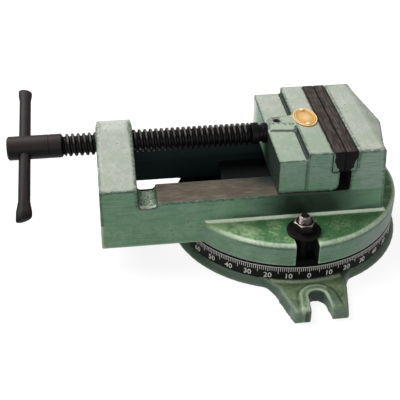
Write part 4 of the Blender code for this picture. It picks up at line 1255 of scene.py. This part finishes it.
def cast_skin(name, node, grain, few_share, casting, gain, turn=0.0):
    """A casting's skin: the node's solid with rounded edges, true round rims and cast lumps."""
    piece = even_skin(name, node, grain)
    points, normals, edges = arrays(piece.data)
    way_level = jaw_top - casting.way_drop
    weights = np.where(points[:, 2] > way_level - grain * 2, casting.ground_share, 1.0)
    weights[np.abs(points[:, 1]) > casting.lug_start] = casting.lug_share
    for _ in range(casting.softening):
        points += (neighbour_means(points, edges) - points) * weights[:, None] / 2
    round_rims(points, casting, turn)
    bulge = np.sum((points - neighbour_means(points, edges)) * normals, axis=1) / grain
    for _ in range(casting.edge_spread):
        bulge = neighbour_means(bulge, edges)
    lumps = np.array([noise.noise(Vector(point) / casting.lump_size) for point in points])
    points -= normals * ((lumps + 1) / 2 * casting.lump_height)[:, None]
    piece.data.vertices.foreach_set("co", points.ravel())
    stored = piece.data.attributes.new("edge", "FLOAT", "POINT")
    stored.data.foreach_set("value", np.clip(0.5 + bulge * gain, 0, 1))
    few = piece.modifiers.new("few", "DECIMATE")
    few.ratio = few_share
    settle(piece)
    return piece


class Undoable:
    """What the operators share."""

    bl_options = {"REGISTER", "UNDO"}


class VISE_OT_base(Undoable, bpy.types.Operator):
    """Base casting with its lugs"""

    bl_idname = "vise.base"
    bl_label = "Base"

    def execute(self, context):
        scene = context.scene
        casting = scene.vise_casting
        base = cast_skin("base_casting", "swivel_base", casting.base_grain, casting.base_few_share,
                         casting, casting.lug_gain, casting.base_turn)
        finished(base, base_paint(scene), "swivel_base", "green_paint", "swivel_base",
                 sharp=SHARP_SKIN)
        return {"FINISHED"}


class VISE_OT_body(Undoable, bpy.types.Operator):
    """Body casting with the fixed jaw, the ways and the flange"""

    bl_idname = "vise.body"
    bl_label = "Body"

    def execute(self, context):
        scene = context.scene
        casting = scene.vise_casting
        body = cast_skin("body_casting", "vise_body", casting.body_grain, casting.body_few_share,
                         casting, casting.edge_gain)
        finished(body, casting_paint(scene), "vise_body", "green_paint", "vise_body",
                 sharp=SHARP_SKIN)
        return {"FINISHED"}


class VISE_OT_jaw(Undoable, bpy.types.Operator):
    """Movable jaw casting"""

    bl_idname = "vise.jaw"
    bl_label = "Movable jaw"

    def execute(self, context):
        scene = context.scene
        casting = scene.vise_casting
        jaw = cast_skin("jaw_casting", "movable_jaw", casting.jaw_grain, casting.jaw_few_share,
                        casting, casting.edge_gain)
        finished(jaw, casting_paint(scene), "movable_jaw", "green_paint", "movable_jaw",
                 sharp=SHARP_SKIN)
        return {"FINISHED"}


# Corners of a mark's six faces, counted inner to outer, low to high, then left to right
mark_faces = ((0, 1, 3, 2), (4, 6, 7, 5), (0, 2, 6, 4), (1, 5, 7, 3), (0, 4, 5, 1), (2, 3, 7, 6))


class VISE_OT_band(Undoable, bpy.types.Operator):
    """Degree band with its marks and numbers"""

    bl_idname = "vise.band"
    bl_label = "Degree band"

    def execute(self, context):
        scene = context.scene
        band = scene.vise_band
        low, high = boxes["degree_band"]
        radius = high.x
        inner = radius - band.thickness
        ring_piece = turned("degree_band_ring", [(low.z, radius), (high.z, radius), (high.z, inner),
                                                 (low.z, inner)], band.sides, loop=True)
        finished(ring_piece, band_ground(scene), "swivel_base", "band_black", "degree_band")
        marks = bmesh.new()
        top = high.z - band.top_margin
        for degree in range(FULL_TURN):
            if degree % NUMBER_STEP == 0:
                reach = band.ten_mark
            elif degree % LONG_MARK_STEP == 0:
                reach = band.five_mark
            else:
                reach = band.unit_mark
            self.add_mark(marks, band, radius, self.turn(scene, degree), top - reach, top)
        line = turned("line", [
            (top - band.mark_width, radius - band.mark_relief), (top, radius - band.mark_relief),
            (top, radius + band.mark_relief), (top - band.mark_width, radius + band.mark_relief)],
            band.sides, loop=True)
        ticks = joined("degree_ticks", [shaped("marks", marks), line])
        finished(ticks, band_marks(scene), "swivel_base", "band_black")
        numbers = [self.number(scene, radius, degree, low.z + band.number_level)
                   for degree in range(0, FULL_TURN, NUMBER_STEP)]
        finished(joined("degree_numbers", numbers), band_marks(scene), "swivel_base", "band_black")
        return {"FINISHED"}

    def turn(self, scene, degree):
        """Where a mark stands round the band: 0 is at the front."""
        return math.radians(degree - HALF_TURN / 2) + scene.vise_casting.base_turn

    def add_mark(self, shape, band, radius, turn, low, high):
        """Add one upright mark."""
        half = band.mark_width / 2 / radius
        corners = []
        for out in (radius - band.mark_relief, radius + band.mark_relief):
            for level in (low, high):
                for side in (-half, half):
                    corners.append(shape.verts.new((out * math.cos(turn + side),
                                                    out * math.sin(turn + side), level)))
        for face in mark_faces:
            shape.faces.new([corners[index] for index in face])

    def number(self, scene, radius, degree, level):
        """One number, bent round the band."""
        band = scene.vise_band
        value = min(degree % HALF_TURN, HALF_TURN - degree % HALF_TURN)
        curve = bpy.data.curves.new("number", "FONT")
        curve.body = str(value)
        curve.size = band.number_height / band.capital_share
        curve.align_x = "CENTER"
        curve.extrude = band.mark_relief
        curve.resolution_u = band.number_steps
        text = bpy.data.objects.new("number", curve)
        scene.collection.objects.link(text)
        mesh = bpy.data.meshes.new_from_object(
            text.evaluated_get(bpy.context.evaluated_depsgraph_get()))
        bpy.data.objects.remove(text, do_unlink=True)
        bpy.data.curves.remove(curve)
        middle = self.turn(scene, degree)
        for vertex in mesh.vertices:
            right, above, out = vertex.co
            turn = middle + right / radius
            vertex.co = ((radius + out) * math.cos(turn), (radius + out) * math.sin(turn), level + above)
        return added("number", mesh)


class VISE_OT_plates(Undoable, bpy.types.Operator):
    """Jaw plates and the screws that hold them"""

    bl_idname = "vise.plates"
    bl_label = "Jaw plates"

    def execute(self, context):
        scene = context.scene
        fastener = scene.vise_fastener
        level = (boxes["fixed_jaw_plate"][0].z + boxes["fixed_jaw_plate"][1].z) / 2
        for jaw, body, inward in (("fixed", "vise_body", 1), ("movable", "movable_jaw", -1)):
            low, high = boxes[f"{jaw}_jaw_plate"]
            plate = block(f"{jaw}_plate", low, high, fastener.plate_edge)
            face = low.x if inward > 0 else high.x
            for end, side in ends.items():
                pose = along_x(side * fastener.screw_spacing / 2, level)
                bore = fastener.screw_radius + fastener.bolt_clearance
                shank = fastener.shank_radius + fastener.bolt_clearance
                before = face - inward * OVERRUN
                seat = face + inward * (fastener.screw_head + fastener.bolt_clearance)
                behind = face + inward * (high.x - low.x + OVERRUN)
                hole = turned("hole", [(before, 0), (before, bore), (seat, bore), (seat, shank),
                                       (behind, shank), (behind, 0)], fastener.sides, pose)
                carve(plate, hole)
                self.screw(scene, f"{jaw}_plate_screw_{end}", body, inward, pose)
            finished(plate, plate_steel(scene), body, "jaw_plate_steel", f"{jaw}_jaw_plate")
        return {"FINISHED"}

    def screw(self, scene, node, body, inward, pose):
        """One cap screw with its socket, along the X axis."""
        fastener = scene.vise_fastener
        low, high = boxes[node]
        face = low.x if inward > 0 else high.x
        tip = high.x if inward > 0 else low.x
        edge = fastener.round_edge * inward
        head = fastener.screw_radius
        shank = fastener.shank_radius
        seat = face + inward * fastener.screw_head
        piece = turned(f"{node}_piece", [
            (face, 0), (face, head - fastener.round_edge), (face + edge, head), (seat, head),
            (seat, shank), (tip - edge, shank), (tip, shank - fastener.round_edge), (tip, 0)],
            fastener.sides, pose)
        socket = drill(face - edge, face + inward * fastener.socket_depth,
                       hexagon_corner(fastener.socket))
        carve(piece, turned("socket", socket, HEXAGON, pose))
        finished(piece, black_oxide(scene), body, "black_steel", node)


class VISE_OT_screw(Undoable, bpy.types.Operator):
    """Lead screw with its head, thread, collars and journal"""

    bl_idname = "vise.screw"
    bl_label = "Lead screw"

    def execute(self, context):
        scene = context.scene
        screw = scene.vise_screw
        bar = scene.vise_bar
        pose = along_x(0, screw_level)
        low, high = boxes["lead_screw"]
        start = low.x + screw.head_length
        end = jaw_left - screw.end_clearance
        core = screw.thread_radius - screw.thread_depth
        shape = bmesh.new()
        for profile in (self.head(screw, low.x, start, high.y) + [(start, core)],
                        [(end, core)] + self.journal(screw, end, high.x)):
            bridge(shape, [ring(pose, along, radius, screw.sides) for along, radius in profile])
        bridge(shape, thread_rows(pose, start, end, core, screw.thread_depth, thread_pitch,
                                  screw.sides), wrap=False)
        piece = shaped("lead_screw_piece", shape)
        hole = drill(-high.y - OVERRUN, high.y + OVERRUN, bar.radius + bar.hole_clearance)
        carve(piece, turned("cross_hole", hole, bar.sides, bar_pose(scene)))
        finished(piece, screw_oxide(scene), "lead_screw", "black_steel", "lead_screw")
        return {"FINISHED"}

    def head(self, screw, start, end, radius):
        """Profile of the head, with its chamfers and the line turned round it."""
        chamfer = screw.head_chamfer
        line = start + screw.ring_place
        bottom = radius - screw.head_ring
        return [(start, 0), (start, radius - chamfer), (start + chamfer, radius), (line, radius),
                (line + screw.ring_width / 4, bottom), (line + screw.ring_width * 3 / 4, bottom),
                (line + screw.ring_width, radius), (end - chamfer, radius), (end, radius - chamfer)]

    def journal(self, screw, start, end):
        """Profile past the thread: collar, neck, thrust collar, and the grooved journal in the jaw."""
        edge = screw.round_edge
        collar_end = start + screw.collar_length
        thrust_end = jaw_left - screw.gap
        thrust_start = thrust_end - screw.thrust_length
        groove = jaw_left + screw.groove_reach
        half = screw.groove_length / 2
        journal = screw.journal_radius
        return [*collar(start, collar_end, screw.collar_radius, edge),
                (collar_end, screw.neck_radius), (thrust_start, screw.neck_radius),
                (thrust_start, screw.thrust_radius - edge), (thrust_start + edge, screw.thrust_radius),
                (thrust_end, screw.thrust_radius), (thrust_end, journal),
                (groove - half, journal), (groove - half, screw.groove_radius),
                (groove + half, screw.groove_radius), (groove + half, journal),
                (end - edge, journal), (end, journal - edge), (end, 0)]


# The thread along one pitch and up from its core
thread_shape_shares = ((0.00, 0.15), (0.05, 0.0), (0.30, 0.0), (0.35, 0.15), (0.46, 0.88), (0.51, 1.0),
                       (0.81, 1.0), (0.87, 0.88))


def thread_rows(pose, start, end, core, depth, pitch, sides):
    """Rows of a right-handed thread that fades into its core at both ends."""
    rows = []
    for turn in range(-1, math.ceil((end - start) / pitch) + 1):
        for place_share, height_share in thread_shape_shares:
            row = []
            for side in range(sides + 1):
                along = start + (turn + place_share + side / sides) * pitch
                fade = min(max(min(along - start, end - along) / (pitch / 2), 0), 1)
                radius = core + depth * height_share * fade
                across = 2 * math.pi * side / sides
                row.append(pose @ Vector((radius * math.cos(across), radius * math.sin(across),
                                          min(max(along, start), end))))
            rows.append(row)
    return rows


def bar_pose(scene):
    """Where the bar crosses the screw; its Z axis runs along the bar."""
    lean = Vector((0, 0, 1)).rotation_difference(bar_direction).to_matrix().to_4x4()
    place = (boxes["lead_screw"][0].x + scene.vise_bar.end_clearance, 0, screw_level)
    return Matrix.Translation(place) @ lean


class VISE_OT_bar(Undoable, bpy.types.Operator):
    """Cross bar with flattened ends"""

    bl_idname = "vise.bar"
    bl_label = "Cross bar"

    def execute(self, context):
        scene = context.scene
        bar = scene.vise_bar
        stations = self.swage(bar, -bar.below, 1, bar.lower_swage, bar.lower_half, bar.lower_slant)
        upper = self.swage(bar, bar.above, -1, bar.upper_swage, bar.upper_half, bar.upper_slant)
        widest = max(bar.lower_half, bar.upper_half)
        pose = bar_pose(scene)
        shape = bmesh.new()
        rows = []
        for along, wide, narrow, slant in stations + upper[::-1]:
            row = []
            for turn in turns(bar.sides):
                across = wide * math.cos(turn)
                inward = slant * (1 + across / widest) / 2
                shift = inward if along < 0 else -inward
                row.append(pose @ Vector((across, narrow * math.sin(turn), along + shift)))
            rows.append(row)
        bridge(shape, rows)
        finished(shaped("tommy_bar_piece", shape), bar_oxide(scene), "tommy_bar", "black_steel",
                 "tommy_bar")
        return {"FINISHED"}

    def swage(self, bar, tip, inward, reach, wide, slant):
        """A flattened end, from its tip inwards: places along the bar, half widths and slants."""
        thin = bar.half_thickness
        radius = bar.radius
        edge = bar.end_round
        stations = [
            (0, 0, 0, slant), (0, wide - edge * 2, thin - edge * 2, slant),
            (edge, wide - edge / 2, thin - edge / 2, slant), (edge * 2, wide, thin, slant),
            (reach / 2, wide, thin, 0), (reach * 3 / 4, (wide + radius) / 2, (thin + radius) / 2, 0),
            (reach, radius, radius, 0)]
        return [(tip + inward * along, *sizes) for along, *sizes in stations]


class VISE_OT_clamps(Undoable, bpy.types.Operator):
    """Swivel clamps: bolt, washer and nut at each end"""

    bl_idname = "vise.clamps"
    bl_label = "Swivel clamps"

    def execute(self, context):
        scene = context.scene
        for end in ends:
            self.bolt(scene, end)
            self.washer(scene, end)
            self.nut(scene, end)
        return {"FINISHED"}

    def bolt(self, scene, end):
        """Square-headed bolt with a threaded end."""
        fastener = scene.vise_fastener
        low, high = boxes[f"{end}_clamp_bolt"]
        pose = through(f"{end}_clamp_washer")
        head_top = low.z + fastener.bolt_head
        core = fastener.bolt_radius - fastener.bolt_thread_depth
        chamfer = fastener.bolt_thread_depth
        thread_low = boxes[f"{end}_clamp_washer"][0].z
        shape = bmesh.new()
        for profile in ([(low.z + fastener.round_edge, 0), (low.z + fastener.round_edge, core),
                         (thread_low, core)],
                        [(high.z - chamfer, core), (high.z, core - chamfer), (high.z, 0)]):
            bridge(shape, [ring(pose, along, radius, fastener.sides) for along, radius in profile])
        bridge(shape, thread_rows(pose, thread_low, high.z - chamfer, core, fastener.bolt_thread_depth,
                                  clamp_thread_pitch, fastener.sides), wrap=False)
        shank = shaped("shank", shape)
        head = block("head", low, Vector((high.x, high.y, head_top)), fastener.round_edge * 2)
        carve(head, shank, "UNION")
        head.name = f"{end}_bolt"
        finished(head, worn_oxide(scene), bolt_body, "black_steel", f"{end}_clamp_bolt")

    def washer(self, scene, end):
        """Washer with rounded edges."""
        fastener = scene.vise_fastener
        low, high = boxes[f"{end}_clamp_washer"]
        outer = (high.x - low.x) / 2
        inner = fastener.washer_hole
        edge = fastener.round_edge
        piece = turned(f"{end}_washer_piece", [
            (low.z, inner + edge), *collar(low.z, high.z, outer, edge), (high.z, inner + edge),
            (high.z - edge, inner), (low.z + edge, inner)], fastener.sides * 2,
            through(f"{end}_clamp_washer"), loop=True)
        finished(piece, black_oxide(scene), f"{end}_washer", "black_steel", f"{end}_clamp_washer")

    def nut(self, scene, end):
        """Hexagon nut with its corners chamfered."""
        fastener = scene.vise_fastener
        low, high = boxes[f"{end}_clamp_nut"]
        half = fastener.across_flats / 2
        corner = hexagon_corner(fastener.across_flats)
        beyond = corner + OVERRUN / 4
        pose = through(f"{end}_clamp_washer")
        nut = turned(f"{end}_nut_piece", drill(low.z, high.z, corner), HEXAGON, pose)
        rise = fastener.nut_chamfer
        under = low.z + fastener.round_edge
        carve(nut, turned("barrel", [
            (low.z - OVERRUN, 0), (low.z - OVERRUN, half - fastener.round_edge), (low.z, half),
            (under + rise / 2, beyond), (high.z - rise, beyond),
            (high.z, half - fastener.round_edge), (high.z + OVERRUN, half - fastener.round_edge),
            (high.z + OVERRUN, 0)], fastener.sides, pose), "INTERSECT")
        bore = fastener.bolt_radius + fastener.bolt_clearance
        lead = fastener.round_edge * 2
        carve(nut, turned("bore", [
            (low.z - OVERRUN, 0), (low.z - OVERRUN, bore + lead), (low.z, bore + lead),
            (low.z + lead, bore), (high.z - lead, bore), (high.z, bore + lead),
            (high.z + OVERRUN, bore + lead), (high.z + OVERRUN, 0)], fastener.sides, pose))
        finished(nut, worn_oxide(scene), f"{end}_nut", "black_steel", f"{end}_clamp_nut",
                 sharp=SHARP_NUT)


class VISE_OT_badge(Undoable, bpy.types.Operator):
    """Oval badge, its rivets and the screw that holds the journal"""

    bl_idname = "vise.badge"
    bl_label = "Badge"

    def execute(self, context):
        scene = context.scene
        badge = scene.vise_badge
        low, high = boxes["oval_badge"]
        middle = (low + high) / 2
        half = (high - low) / 2
        field = high.z - badge.rim_height
        line = badge.line_width_share / 2
        soft = badge.soft_share
        profile = [
            (0, low.z), (1, low.z), (1, high.z - badge.rim_height / 2), (1 - soft, high.z),
            (badge.rim_share + soft, high.z), (badge.rim_share, field),
            (badge.line_share + line + soft, field), (badge.line_share + line, high.z),
            (badge.line_share - line, high.z), (badge.line_share - line - soft, field), (0, field)]
        shape = bmesh.new()
        bridge(shape, [[Vector((middle.x + half.x * size_share * math.cos(turn),
                                middle.y + half.y * size_share * math.sin(turn), level))
                        for turn in turns(badge.sides)] for size_share, level in profile])
        piece = shaped("badge_piece", shape)
        raised = piece.data.attributes.new("raised", "FLOAT", "POINT")
        for vertex, item in zip(piece.data.vertices, raised.data):
            item.value = 1 if vertex.co.z > field + badge.rim_height / 4 else 0
        self.shade_walls(piece, scene, middle, half)
        finished(piece, badge_brass(scene), "movable_jaw", "brass", "oval_badge")
        for end in ends:
            self.rivet(scene, end)
        self.retainer(scene)
        return {"FINISHED"}

    def shade_walls(self, piece, scene, middle, half):
        """Mark the feet of the badge's rims, where tarnish gathers."""
        badge = scene.vise_badge
        wall = piece.data.attributes.new("wall", "FLOAT", "POINT")
        line = badge.line_width_share / 2 + badge.soft_share
        feet = (1, badge.rim_share, badge.line_share + line, badge.line_share - line)
        for vertex, item in zip(piece.data.vertices, wall.data):
            place_share = math.hypot((vertex.co.x - middle.x) / half.x, (vertex.co.y - middle.y) / half.y)
            item.value = max(1.0 if abs(place_share - foot) < badge.soft_share / 4 else 0.0
                             for foot in feet)

    def rivet(self, scene, end):
        """Round-headed rivet."""
        badge = scene.vise_badge
        low, high = boxes[f"badge_rivet_{end}"]
        head = (high.x - low.x) / 2
        rise = badge.rivet_head
        quarter = [math.pi / 2 * step / badge.rivet_steps for step in range(badge.rivet_steps + 1)]
        dome = [(high.z - rise + rise * math.sin(turn), head * math.cos(turn)) for turn in quarter]
        shank = badge.rivet_radius
        piece = turned(f"rivet_{end}", [(low.z, 0), (low.z, shank), (high.z - rise, shank), *dome],
                       badge.rivet_sides, through(f"badge_rivet_{end}"))
        raised = piece.data.attributes.new("raised", "FLOAT", "POINT")
        raised.data.foreach_set("value", [1.0] * len(piece.data.vertices))
        finished(piece, badge_brass(scene), "movable_jaw", "brass", f"badge_rivet_{end}")

    def retainer(self, scene):
        """Slotted screw over the journal's groove."""
        fastener = scene.vise_fastener
        low, high = boxes["screw_retainer"]
        sides = collar(low.z, high.z, (high.x - low.x) / 2, fastener.round_edge)
        piece = turned("retainer_piece", [(low.z, 0), *sides, (high.z, 0)], fastener.sides,
                       through("screw_retainer"))
        slot = block("slot", (low.x - OVERRUN, -fastener.slot_width / 2, high.z - fastener.slot_depth),
                     (high.x + OVERRUN, fastener.slot_width / 2, high.z + OVERRUN))
        carve(piece, slot)
        finished(piece, black_oxide(scene), "movable_jaw", "black_steel", "screw_retainer")


class VISE_OT_hidden(Undoable, bpy.types.Operator):
    """Finishes of the pieces of the solid model that stay as they are"""

    bl_idname = "vise.hidden"
    bl_label = "Pivot and keeper"

    def execute(self, context):
        scene = context.scene
        for node in ("pivot_pin", "jaw_keeper_plate", "keeper_screw_front", "keeper_screw_rear"):
            mesh = frame["nodes"][node].data
            mesh.materials.clear()
            mesh.materials.append(black_oxide(scene))
        return {"FINISHED"}


class VISE_OT_stage(Undoable, bpy.types.Operator):
    """Camera, lamps, floor and surrounding light"""

    bl_idname = "vise.stage"
    bl_label = "Stage"

    def execute(self, context):
        scene = context.scene
        stage = scene.vise_stage
        self.camera(scene)
        self.floor(scene)
        self.sky(scene)
        self.lamp(scene, "key_lamp", stage.key_direction, stage.key_distance, stage.key_power,
                  stage.key_size)
        self.lamp(scene, "fill_lamp", stage.fill_direction, stage.fill_distance, stage.fill_power,
                  stage.fill_size)
        return {"FINISHED"}

    def lamp(self, scene, name, direction, distance, power, size):
        """Square soft lamp that faces the vise."""
        lamp = bpy.data.lights.new(name, "AREA")
        lamp.shape = "SQUARE"
        lamp.size = size
        lamp.energy = power
        placed = bpy.data.objects.new(name, lamp)
        scene.collection.objects.link(placed)
        away = Vector(direction).normalized()
        placed.location = Vector((0, 0, scene.vise_stage.target_level)) + away * distance
        placed.rotation_euler = away.to_track_quat("Z", "Y").to_euler()

    def camera(self, scene):
        """Camera of the photograph: level, and aimed so that the target lands off centre."""
        stage = scene.vise_stage
        forward = Vector((math.sin(stage.azimuth) * math.cos(stage.elevation),
                          math.cos(stage.azimuth) * math.cos(stage.elevation),
                          -math.sin(stage.elevation)))
        right = Vector((math.cos(stage.azimuth), -math.sin(stage.azimuth), 0))
        above = right.cross(forward)
        camera = bpy.data.cameras.new("camera")
        camera.lens = stage.lens
        camera.sensor_width = stage.sensor
        placed = bpy.data.objects.new("camera", camera)
        scene.collection.objects.link(placed)
        pixel = stage.distance * stage.sensor / stage.lens / stage.picture
        middle = stage.picture / 2
        place = Vector((0, 0, stage.target_level)) - forward * stage.distance
        place -= right * ((stage.target_right - middle) * pixel)
        place -= above * ((middle - stage.target_down) * pixel)
        turn = Matrix((right, above, -forward)).transposed().to_4x4()
        placed.matrix_world = Matrix.Translation(place) @ turn
        scene.camera = placed
        scene.view_settings.view_transform = "Standard"

    def floor(self, scene):
        """White floor that keeps the vise's shadow."""
        stage = scene.vise_stage
        half = stage.floor_size / 2
        shape = bmesh.new()
        corners = ((-half, -half), (half, -half), (half, half), (-half, half))
        shape.faces.new([shape.verts.new((x, y, 0)) for x, y in corners])
        mesh = bpy.data.meshes.new("floor")
        shape.to_mesh(mesh)
        shape.free()
        floor = added("floor", mesh)
        mesh.materials.append(white_floor(scene))

    def sky(self, scene):
        """Even light all round, white where it is seen."""
        stage = scene.vise_stage
        world = bpy.data.worlds.new("white_room")
        scene.world = world
        shader = Shader(world, "Background")
        shader.put(shader.surface["Color"], (1, 1, 1))
        seen = shader.ray("Is Camera Ray")
        shader.put(shader.surface["Strength"], stage.sky + seen * (1 - stage.sky))


class VISE_PT_panel(bpy.types.Panel):
    """Every setting and every step"""

    bl_idname = "VISE_PT_panel"
    bl_label = "Swivel vise"
    bl_space_type = "VIEW_3D"
    bl_region_type = "UI"
    bl_category = "Vise"

    def draw(self, context):
        """A box for each step, with its settings."""
        for operator, groups in steps:
            box = self.layout.box()
            box.operator(operator.bl_idname)
            for group in groups:
                for name in setting_groups[group].__annotations__:
                    box.prop(getattr(context.scene, group), name)


setting_groups = {
    "vise_paint": VisePaint, "vise_casting": ViseCasting, "vise_band": ViseBand,
    "vise_steel": ViseSteel, "vise_screw": ViseScrew, "vise_bar": ViseBar,
    "vise_fastener": ViseFastener, "vise_badge": ViseBadge, "vise_stage": ViseStage}
steps = (
    (VISE_OT_base, ("vise_casting", "vise_paint")), (VISE_OT_band, ("vise_band",)),
    (VISE_OT_body, ()), (VISE_OT_jaw, ()), (VISE_OT_plates, ("vise_steel", "vise_fastener")),
    (VISE_OT_screw, ("vise_screw",)), (VISE_OT_bar, ("vise_bar",)), (VISE_OT_clamps, ()),
    (VISE_OT_badge, ("vise_badge",)), (VISE_OT_hidden, ()), (VISE_OT_stage, ("vise_stage",)))


def register():
    """Make the settings, the operators and the panel known."""
    for name, group in setting_groups.items():
        bpy.utils.register_class(group)
        setattr(bpy.types.Scene, name, bpy.props.PointerProperty(type=group))
    for operator, _ in steps:
        bpy.utils.register_class(operator)
    bpy.utils.register_class(VISE_PT_panel)


def unregister():
    """Undo what register did."""
    bpy.utils.unregister_class(VISE_PT_panel)
    for operator, _ in reversed(steps):
        bpy.utils.unregister_class(operator)
    for name, group in reversed(setting_groups.items()):
        delattr(bpy.types.Scene, name)
        bpy.utils.unregister_class(group)


def main():
    """Build every piece in order."""
    register()
    for operator, _ in steps:
        getattr(bpy.ops.vise, operator.bl_idname.removeprefix("vise."))()


if __name__ == "__main__":
    main()
